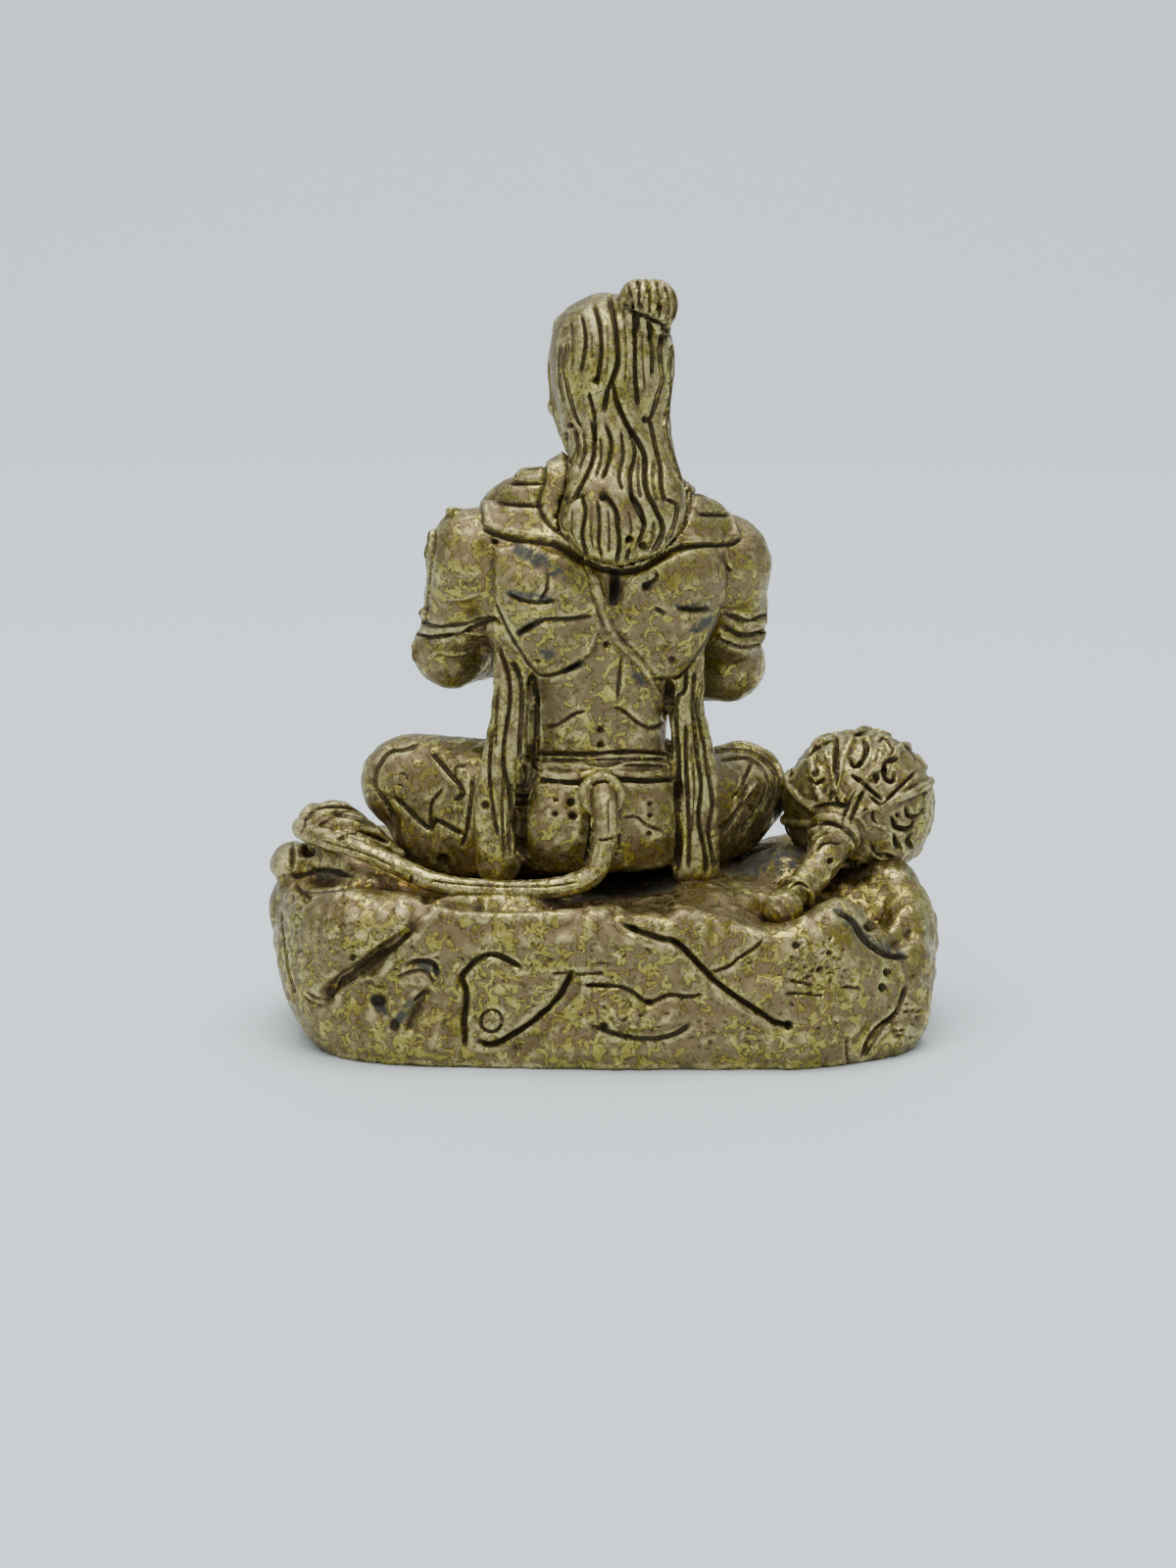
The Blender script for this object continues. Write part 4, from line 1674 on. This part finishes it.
def triangles_of(mesh):
    mesh.calc_loop_triangles()
    flat = np.empty(len(mesh.loop_triangles) * 3, np.int32)
    mesh.loop_triangles.foreach_get("vertices", flat)
    return flat.reshape(-1, 3)


def vertex_normals(points, faces):
    """Area-weighted normals, and each vertex's share of the area."""
    a, b, c = (points[faces[:, k]] for k in range(3))
    cross = np.cross(b - a, c - a) / 2
    normals = np.zeros_like(points)
    area = np.zeros(len(points))
    size = np.linalg.norm(cross, axis=1)
    for k in range(3):
        for axis in range(3):
            normals[:, axis] += np.bincount(faces[:, k], cross[:, axis], len(points))
        area += np.bincount(faces[:, k], size / 3, len(points))
    return normals / np.maximum(np.linalg.norm(normals, axis=1), 1e-12)[:, None], area


def hollowness(points, normals, area, reach):
    """How deep each point lies among the skin within reach: above 0 in hollows, below 0 on edges."""
    cell = reach / 2
    low = points.min(0) - 3 * reach
    count = np.ceil((points.max(0) + 3 * reach - low) / cell).astype(int) + 1
    at = (points - low) / cell
    base = at.astype(int)
    part = at - base
    grids = [np.zeros(count.prod()) for _ in range(4)]
    loads = [area] + [area * (points[:, k] - low[k]) for k in range(3)]
    corners = []
    for i in (0, 1):
        for j in (0, 1):
            for k in (0, 1):
                weight = (
                    (part[:, 0] if i else 1 - part[:, 0])
                    * (part[:, 1] if j else 1 - part[:, 1])
                    * (part[:, 2] if k else 1 - part[:, 2])
                )
                index = ((base[:, 0] + i) * count[1] + base[:, 1] + j) * count[2] + base[:, 2] + k
                corners.append((index, weight))
    for index, weight in corners:
        for grid, load in zip(grids, loads):
            grid += np.bincount(index, weight * load, len(grid))
    for number, grid in enumerate(grids):
        block = grid.reshape(count)
        for axis in range(3):
            block = block + (np.roll(block, 1, axis) + np.roll(block, -1, axis)) * 0.7
        grids[number] = block.ravel()
    sums = [sum(grid[index] * weight for index, weight in corners) for grid in grids]
    middle = np.stack(sums[1:], 1) / np.maximum(sums[0], 1e-9)[:, None] + low
    return ((middle - points) * normals).sum(1) / reach


def wear(points, normals):
    """Small dents and tool marks of an old casting, as a push along each point's normal in mm."""
    push = np.zeros(len(points))
    low, high = points.min(0) - 0.5, points.max(0) + 0.5
    for wavelength, depth, seed in ((0.9, 0.03, 51), (0.42, 0.03, 52), (0.24, 0.02, 53)):
        axes = [np.arange(low[k], high[k] + wavelength, wavelength / 2) for k in range(3)]
        block = cloud(axes, wavelength, seed)
        at = (points - low) / (wavelength / 2)
        base = np.minimum(at.astype(int), np.array(block.shape) - 2)
        part = at - base
        value = 0.0
        for i in (0, 1):
            for j in (0, 1):
                for k in (0, 1):
                    weight = (
                        (part[:, 0] if i else 1 - part[:, 0])
                        * (part[:, 1] if j else 1 - part[:, 1])
                        * (part[:, 2] if k else 1 - part[:, 2])
                    )
                    value = value + weight * block[base[:, 0] + i, base[:, 1] + j, base[:, 2] + k]
        push += depth * value
    return points + normals * push[:, None]


def carve_tail(marks, front):
    marks.line([(419, 893), (419, 903)], 1.2, 0.2)
    marks.line([(609, 857), (618, 857), (628, 855)], 1.2, 0.2)
    marks.line([(306, 852), (318, 829), (337, 823), (363, 826), (383, 837)], 1.3, 0.22)
    marks.line([(342, 830), (363, 834), (383, 843)], 2.0, 0.35)
    marks.line([(323, 843), (340, 833)], 1.3, 0.25)
    marks.line([(344, 856), (360, 851), (379, 853), (396, 860)], 1.8, 0.35)
    marks.line([(622, 815), (621, 835), (622, 850)], 1.0, 0.1)
    marks.line([(440, 899), (500, 904), (560, 904), (590, 900)], 1.2, 0.14)
    marks.line([(330, 858), (374, 872), (400, 884)], 1.1, 0.14)


# Each piece: how fine its skin is in mm, the most triangles it may have, and its marks
PIECES = {
    "rock": (0.085, 190000, carve_rock),
    "figure": (0.075, 190000, carve_figure),
    "head_and_hair": (0.06, 150000, carve_hair),
    "mace": (0.065, 130000, carve_mace),
    "tail": (0.07, 60000, carve_tail),
}
FLAT_BELOW = 0.06


def skins():
    """Every piece as a closed fine skin, in millimetres."""
    made = {}
    for piece, (grain, _, _) in PIECES.items():
        settings = {"mode": "VOXEL", "voxel_size": grain, "adaptivity": 0.0}
        made[piece] = modified(joined_forms(piece), "REMESH", settings)
    return made


def cast():
    """Joins each piece's forms in one skin, marks and wears it, thins it, and notes its hollows."""
    meshes = skins()
    sight = Sight(np.vstack([read_points(mesh) for mesh in meshes.values()]))
    for piece, (_, triangles, carve) in PIECES.items():
        mesh = meshes[piece]
        points = read_points(mesh)
        faces = triangles_of(mesh)
        normals, _ = vertex_normals(points, faces)
        marks, front = sight.marks(points, normals), front_marks(points, normals)
        carve(marks, front)
        points = points - normals * (marks.push + front.push)[:, None]
        points = wear(points, normals)
        if piece == "rock":
            points[:, 2] = np.where(points[:, 2] < FLAT_BELOW, 0.0, points[:, 2])
        points[:, 2] = np.maximum(points[:, 2], 0.0)
        write_points(mesh, points)
        share = min(1.0, triangles / len(faces))
        meshes[piece] = modified(mesh, "DECIMATE", {"ratio": share, "use_collapse_triangulate": True})
    sizes = [len(mesh.vertices) for mesh in meshes.values()]
    points = np.vstack([read_points(mesh) for mesh in meshes.values()])
    starts = np.cumsum([0] + sizes)
    faces = np.vstack([triangles_of(mesh) + start for mesh, start in zip(meshes.values(), starts)])
    normals, area = vertex_normals(points, faces)
    fine = hollowness(points, normals, area, 0.3)
    broad = hollowness(points, normals, area, 1.6)
    relief = np.zeros((len(points), 4))
    relief[:, 0] = np.clip(0.5 + 2.2 * fine, 0, 1)
    relief[:, 1] = np.clip(0.5 + 1.4 * broad, 0, 1)
    for (piece, mesh), start, count in zip(meshes.items(), starts, sizes):
        part = slice(start, start + count)
        marks, front = sight.marks(points[part], normals[part]), front_marks(points[part], normals[part])
        PIECES[piece][2](marks, front)
        relief[part, 2] = np.clip(marks.film, 0, 1)
        relief[part, 3] = np.clip(np.maximum(marks.ink, front.ink), 0, 1)
        write_points(mesh, points[part] * MM)
        mesh.name = piece
        layer = mesh.color_attributes.new("relief", "FLOAT_COLOR", "POINT")
        layer.data.foreach_set("color", relief[part].astype(np.float32).ravel())
        for polygon in mesh.polygons:
            polygon.use_smooth = True
    return meshes


# Materials


def linear(hex_colour):
    """An sRGB hex colour as the linear RGBA that shaders use."""
    values = [int(hex_colour[i : i + 2], 16) / 255 for i in (1, 3, 5)]
    return (*[v / 12.92 if v <= 0.04045 else ((v + 0.055) / 1.055) ** 2.4 for v in values], 1.0)


def aged_brass(colours):
    """Old cast brass: metal that is rubbed yellow on edges, dulled brown between, dark in its grooves."""
    material = bpy.data.materials.new("Aged cast brass")
    material.use_nodes = True
    tree = material.node_tree
    tree.nodes.clear()
    place = add_node(tree, "ShaderNodeTexCoord").outputs["Object"]
    relief = add_node(tree, "ShaderNodeAttribute", {"attribute_name": "relief"})
    levels = add_node(tree, "ShaderNodeSeparateColor", links={"Color": relief.outputs["Color"]})

    def noise(size_mm, detail, rough, twist=0.0):
        inputs = {"Scale": 1 / (size_mm * MM), "Detail": detail, "Roughness": rough, "Distortion": twist}
        return add_node(tree, "ShaderNodeTexNoise", inputs=inputs, links={"Vector": place}).outputs["Fac"]

    def ramp(value, low, high):
        node = add_node(tree, "ShaderNodeMapRange", {"interpolation_type": "SMOOTHSTEP"}, links={"Value": value})
        node.inputs["From Min"].default_value = low
        node.inputs["From Max"].default_value = high
        return node.outputs["Result"]

    def mix(share, a, b):
        node = add_node(tree, "ShaderNodeMix", {"data_type": "RGBA"})
        tree.links.new(share, node.inputs["Factor"])
        for name, value in (("A", a), ("B", b)):
            socket = [s for s in node.inputs if s.name == name and s.type == "RGBA"][0]
            if isinstance(value, tuple):
                socket.default_value = value
            else:
                tree.links.new(value, socket)
        return [s for s in node.outputs if s.type == "RGBA"][0]

    def calculate(operation, a, b):
        node = add_node(tree, "ShaderNodeMath", {"operation": operation, "use_clamp": True})
        for index, value in enumerate((a, b)):
            if isinstance(value, (int, float)):
                node.inputs[index].default_value = value
            else:
                tree.links.new(value, node.inputs[index])
        return node.outputs[0]

    # Film of tarnish in worm-like patches with crisp, darker borders, thick in some places and thin in others
    spread = noise(3.6, 3.0, 0.55)
    worms = noise(0.5, 3.5, 0.55, 1.1)
    lean = calculate("ADD", worms, calculate("MULTIPLY", calculate("SUBTRACT", spread, 0.4), 0.42))
    film = ramp(lean, 0.5, 0.545)
    border = calculate("MULTIPLY", ramp(lean, 0.47, 0.515), ramp(lean, 0.575, 0.53))
    specks = ramp(noise(0.17, 3.0, 0.6, 0.8), 0.6, 0.66)
    shade = ramp(noise(1.1, 4.0, 0.6), 0.3, 0.7)
    worn = calculate("MULTIPLY", ramp(levels.outputs["Red"], 0.5, 0.28), ramp(noise(0.8, 3.0, 0.6), 0.35, 0.6))
    groove = calculate("MAXIMUM", ramp(levels.outputs["Red"], 0.6, 0.86), ramp(relief.outputs["Alpha"], 0.25, 0.8))
    hollow = ramp(levels.outputs["Green"], 0.56, 0.82)
    cold = calculate("MULTIPLY", ramp(levels.outputs["Blue"], 0.2, 0.7), ramp(noise(0.6, 3.0, 0.6), 0.35, 0.5))
    base = mix(shade, linear(colours.brass), linear(colours.olive))
    base = mix(calculate("MULTIPLY", hollow, 0.6), base, linear(colours.recess))
    base = mix(calculate("MULTIPLY", film, 0.85), base, linear(colours.tarnish))
    base = mix(calculate("MULTIPLY", worn, 0.6), base, linear(colours.rubbed))
    base = mix(calculate("MULTIPLY", border, 0.6), base, linear(colours.border))
    base = mix(calculate("MULTIPLY", specks, 0.6), base, linear(colours.border))
    base = mix(calculate("MULTIPLY", cold, 0.85), base, linear(colours.cold))
    base = mix(calculate("MULTIPLY", groove, 0.85), base, linear(colours.groove))
    dirt = calculate("MAXIMUM", calculate("MAXIMUM", groove, cold), calculate("MULTIPLY", film, 0.6))
    shader = add_node(tree, "ShaderNodeBsdfPrincipled", links={"Base Color": base})
    for name, clean, dirty in (("Metallic", 1.0, 0.45), ("Roughness", 0.33, 0.62)):
        level = add_node(tree, "ShaderNodeMapRange", inputs={"To Min": clean, "To Max": dirty}, links={"Value": dirt})
        tree.links.new(level.outputs["Result"], shader.inputs[name])
    raised = calculate("SUBTRACT", 1.0, calculate("MAXIMUM", film, specks))
    grain = noise(0.13, 3.0, 0.6)
    height = calculate("ADD", calculate("MULTIPLY", raised, 0.6), calculate("MULTIPLY", grain, 0.4))
    bump = add_node(tree, "ShaderNodeBump", inputs={"Strength": 0.8, "Distance": 0.05 * MM}, links={"Height": height})
    tree.links.new(bump.outputs["Normal"], shader.inputs["Normal"])
    add_node(tree, "ShaderNodeOutputMaterial", links={"Surface": shader.outputs["BSDF"]})
    return material


def plain_floor(colour):
    """Matt paper sweep: one even pale colour with a little tooth."""
    material = bpy.data.materials.new("Matt paper")
    material.use_nodes = True
    shader = material.node_tree.nodes["Principled BSDF"]
    shader.inputs["Base Color"].default_value = linear(colour)
    shader.inputs["Roughness"].default_value = 0.85
    return material


# Settings


class CastingSettings(bpy.types.PropertyGroup):
    clay_grain: bpy.props.FloatProperty(
        name="Clay grain", description="Step of the clay that the forms are shaped in, in mm", default=0.14, min=0.08
    )


class FinishSettings(bpy.types.PropertyGroup):
    brass: bpy.props.StringProperty(name="Brass", description="sRGB colour of the open metal", default="#A89D55")
    olive: bpy.props.StringProperty(name="Olive", description="sRGB colour of lightly dulled metal", default="#8F8440")
    rubbed: bpy.props.StringProperty(name="Rubbed", description="sRGB colour of worn edges", default="#D9CF8E")
    tarnish: bpy.props.StringProperty(name="Tarnish", description="sRGB colour of the brown film", default="#75624A")
    border: bpy.props.StringProperty(name="Border", description="sRGB colour at the film's borders", default="#3F3113")
    recess: bpy.props.StringProperty(name="Recess", description="sRGB colour deep between forms", default="#7A4A16")
    groove: bpy.props.StringProperty(name="Groove", description="sRGB colour of dirt in grooves", default="#2C210A")
    cold: bpy.props.StringProperty(name="Cold film", description="sRGB colour of the grey film", default="#34383A")


class StudioSettings(bpy.types.PropertyGroup):
    floor: bpy.props.StringProperty(name="Floor", description="sRGB colour of the paper", default="#DDE5EA")
    sweep_reach: bpy.props.FloatProperty(
        name="Sweep reach", description="How far behind the statue the paper lies flat", default=0.3, unit="LENGTH"
    )
    sweep_bend: bpy.props.FloatProperty(
        name="Sweep bend", description="Radius of the paper's curve", default=0.5, unit="LENGTH"
    )
    sweep_width: bpy.props.FloatProperty(
        name="Sweep width", description="Width of the paper", default=3.0, unit="LENGTH"
    )
    top_power: bpy.props.FloatProperty(
        name="Top power", description="Power of the large lamp overhead", default=1.5, unit="POWER"
    )
    near_power: bpy.props.FloatProperty(
        name="Near power", description="Power of the lamp on the camera's side", default=0.5, unit="POWER"
    )
    paper_power: bpy.props.FloatProperty(
        name="Paper power", description="Power of the lamp on the paper behind", default=6.0, unit="POWER"
    )
    room_light: bpy.props.FloatProperty(name="Room light", description="Brightness of the pale room", default=0.6)


# Operators


class STATUE_OT_rock(bpy.types.Operator):
    """Shape the broken rock with its cracks"""

    bl_idname = "statue.rock"
    bl_label = "Rock"

    def execute(self, context):
        shape_rock(context.scene.statue_casting.clay_grain)
        return {"FINISHED"}


class STATUE_OT_body(bpy.types.Operator):
    """Shape the trunk, arms, legs and shawl"""

    bl_idname = "statue.body"
    bl_label = "Body"

    def execute(self, context):
        shape_body(context.scene.statue_casting.clay_grain)
        return {"FINISHED"}


class STATUE_OT_head(bpy.types.Operator):
    """Shape the head and lay its hair"""

    bl_idname = "statue.head"
    bl_label = "Head and hair"

    def execute(self, context):
        shape_head(context.scene.statue_casting.clay_grain)
        lay_hair()
        return {"FINISHED"}


class STATUE_OT_dress(bpy.types.Operator):
    """Lay the belt, thread, armlets, folds and beads"""

    bl_idname = "statue.dress"
    bl_label = "Dress"

    def execute(self, context):
        lay_dress()
        return {"FINISHED"}


class STATUE_OT_mace(bpy.types.Operator):
    """Shape the ribbed mace and its handle"""

    bl_idname = "statue.mace"
    bl_label = "Mace"

    def execute(self, context):
        shape_mace(context.scene.statue_casting.clay_grain)
        return {"FINISHED"}


class STATUE_OT_tail(bpy.types.Operator):
    """Lay the tail and its tuft"""

    bl_idname = "statue.tail"
    bl_label = "Tail"

    def execute(self, context):
        lay_tail()
        return {"FINISHED"}


class STATUE_OT_casting(bpy.types.Operator):
    """Join the forms in one casting and give it its finish"""

    bl_idname = "statue.casting"
    bl_label = "Casting"

    def execute(self, context):
        brass = aged_brass(context.scene.statue_finish)
        for name, mesh in cast().items():
            mesh.materials.clear()
            mesh.materials.append(brass)
            piece = bpy.data.objects.new(name, mesh)
            context.scene.collection.objects.link(piece)
            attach(piece, "root")
            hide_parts(NODE)
        return {"FINISHED"}


class STATUE_OT_stage(bpy.types.Operator):
    """Set the paper sweep, the lamps and the camera"""

    bl_idname = "statue.stage"
    bl_label = "Stage"

    def execute(self, context):
        make_stage(context.scene.statue_studio)
        return {"FINISHED"}


def paper_sweep(studio):
    """A sheet of paper that lies flat under the statue and curves up beyond it."""
    bend = studio.sweep_bend
    profile = [(0.9, 0.0), (-studio.sweep_reach, 0.0)]
    for a in np.linspace(0, math.pi / 2, 17)[1:]:
        profile.append((-studio.sweep_reach - bend * math.sin(a), bend * (1 - math.cos(a))))
    profile.append((-studio.sweep_reach - bend, bend + 1.2))
    points = [(side * studio.sweep_width / 2, y, z) for y, z in profile for side in (1, -1)]
    faces = [(2 * i, 2 * i + 1, 2 * i + 3, 2 * i + 2) for i in range(len(profile) - 1)]
    mesh = new_mesh("paper_sweep", points, faces)
    for polygon in mesh.polygons:
        polygon.use_smooth = True
    return mesh


def make_stage(studio):
    scene = bpy.context.scene
    floor = bpy.data.objects.new("paper_sweep", paper_sweep(studio))
    floor.data.materials.append(plain_floor(studio.floor))
    scene.collection.objects.link(floor)
    for name, place, target, power, width in (
        ("top_lamp", (0.02, 0.08, 0.42), (0, 0, 0.014), studio.top_power, 0.36),
        ("near_lamp", (0.12, 0.5, 0.3), (0, 0, 0.014), studio.near_power, 0.3),
        ("paper_lamp", (0.0, -0.25, 0.9), (0, -0.7, 0.1), studio.paper_power, 0.8),
    ):
        light = bpy.data.lights.new(name, "AREA")
        light.energy = power
        light.size = width
        lamp = bpy.data.objects.new(name, light)
        lamp.location = place
        lamp.rotation_euler = (Vector(target) - lamp.location).to_track_quat("-Z", "Y").to_euler()
        scene.collection.objects.link(lamp)
    world = bpy.data.worlds.new("Pale room")
    world.use_nodes = True
    world.node_tree.nodes["Background"].inputs["Color"].default_value = linear("#E4EAEE")
    world.node_tree.nodes["Background"].inputs["Strength"].default_value = studio.room_light
    scene.world = world
    place, right, up, back = camera_axes()
    data = bpy.data.cameras.new("photo_camera")
    data.lens = PHOTO["lens"]
    data.sensor_fit = "VERTICAL"
    data.sensor_height = PHOTO["sensor"]
    data.clip_start = 0.01
    camera = bpy.data.objects.new("photo_camera", data)
    camera.location = Vector(place) * MM
    camera.rotation_euler = Vector(-back).to_track_quat("-Z", "Y").to_euler()
    scene.collection.objects.link(camera)
    scene.camera = camera


STEPS = [
    STATUE_OT_rock,
    STATUE_OT_body,
    STATUE_OT_head,
    STATUE_OT_dress,
    STATUE_OT_mace,
    STATUE_OT_tail,
    STATUE_OT_casting,
    STATUE_OT_stage,
]


class STATUE_PT_panel(bpy.types.Panel):
    """The statue's steps and settings"""

    bl_idname = "STATUE_PT_panel"
    bl_label = "Brass statue"
    bl_space_type = "VIEW_3D"
    bl_region_type = "UI"
    bl_category = "Statue"

    def draw(self, context):
        for group in ("statue_casting", "statue_finish", "statue_studio"):
            box = self.layout.box()
            settings = getattr(context.scene, group)
            for name in settings.__annotations__:
                box.prop(settings, name)
        for step in STEPS:
            self.layout.operator(step.bl_idname)


CLASSES = [CastingSettings, FinishSettings, StudioSettings, *STEPS, STATUE_PT_panel]


def register():
    for cls in CLASSES:
        bpy.utils.register_class(cls)
    bpy.types.Scene.statue_casting = bpy.props.PointerProperty(type=CastingSettings)
    bpy.types.Scene.statue_finish = bpy.props.PointerProperty(type=FinishSettings)
    bpy.types.Scene.statue_studio = bpy.props.PointerProperty(type=StudioSettings)


def unregister():
    del bpy.types.Scene.statue_studio
    del bpy.types.Scene.statue_finish
    del bpy.types.Scene.statue_casting
    for cls in reversed(CLASSES):
        bpy.utils.unregister_class(cls)


def main():
    register()
    bpy.ops.statue.rock()
    bpy.ops.statue.body()
    bpy.ops.statue.head()
    bpy.ops.statue.dress()
    bpy.ops.statue.mace()
    bpy.ops.statue.tail()
    bpy.ops.statue.casting()
    bpy.ops.statue.stage()


if __name__ == "__main__":
    main()
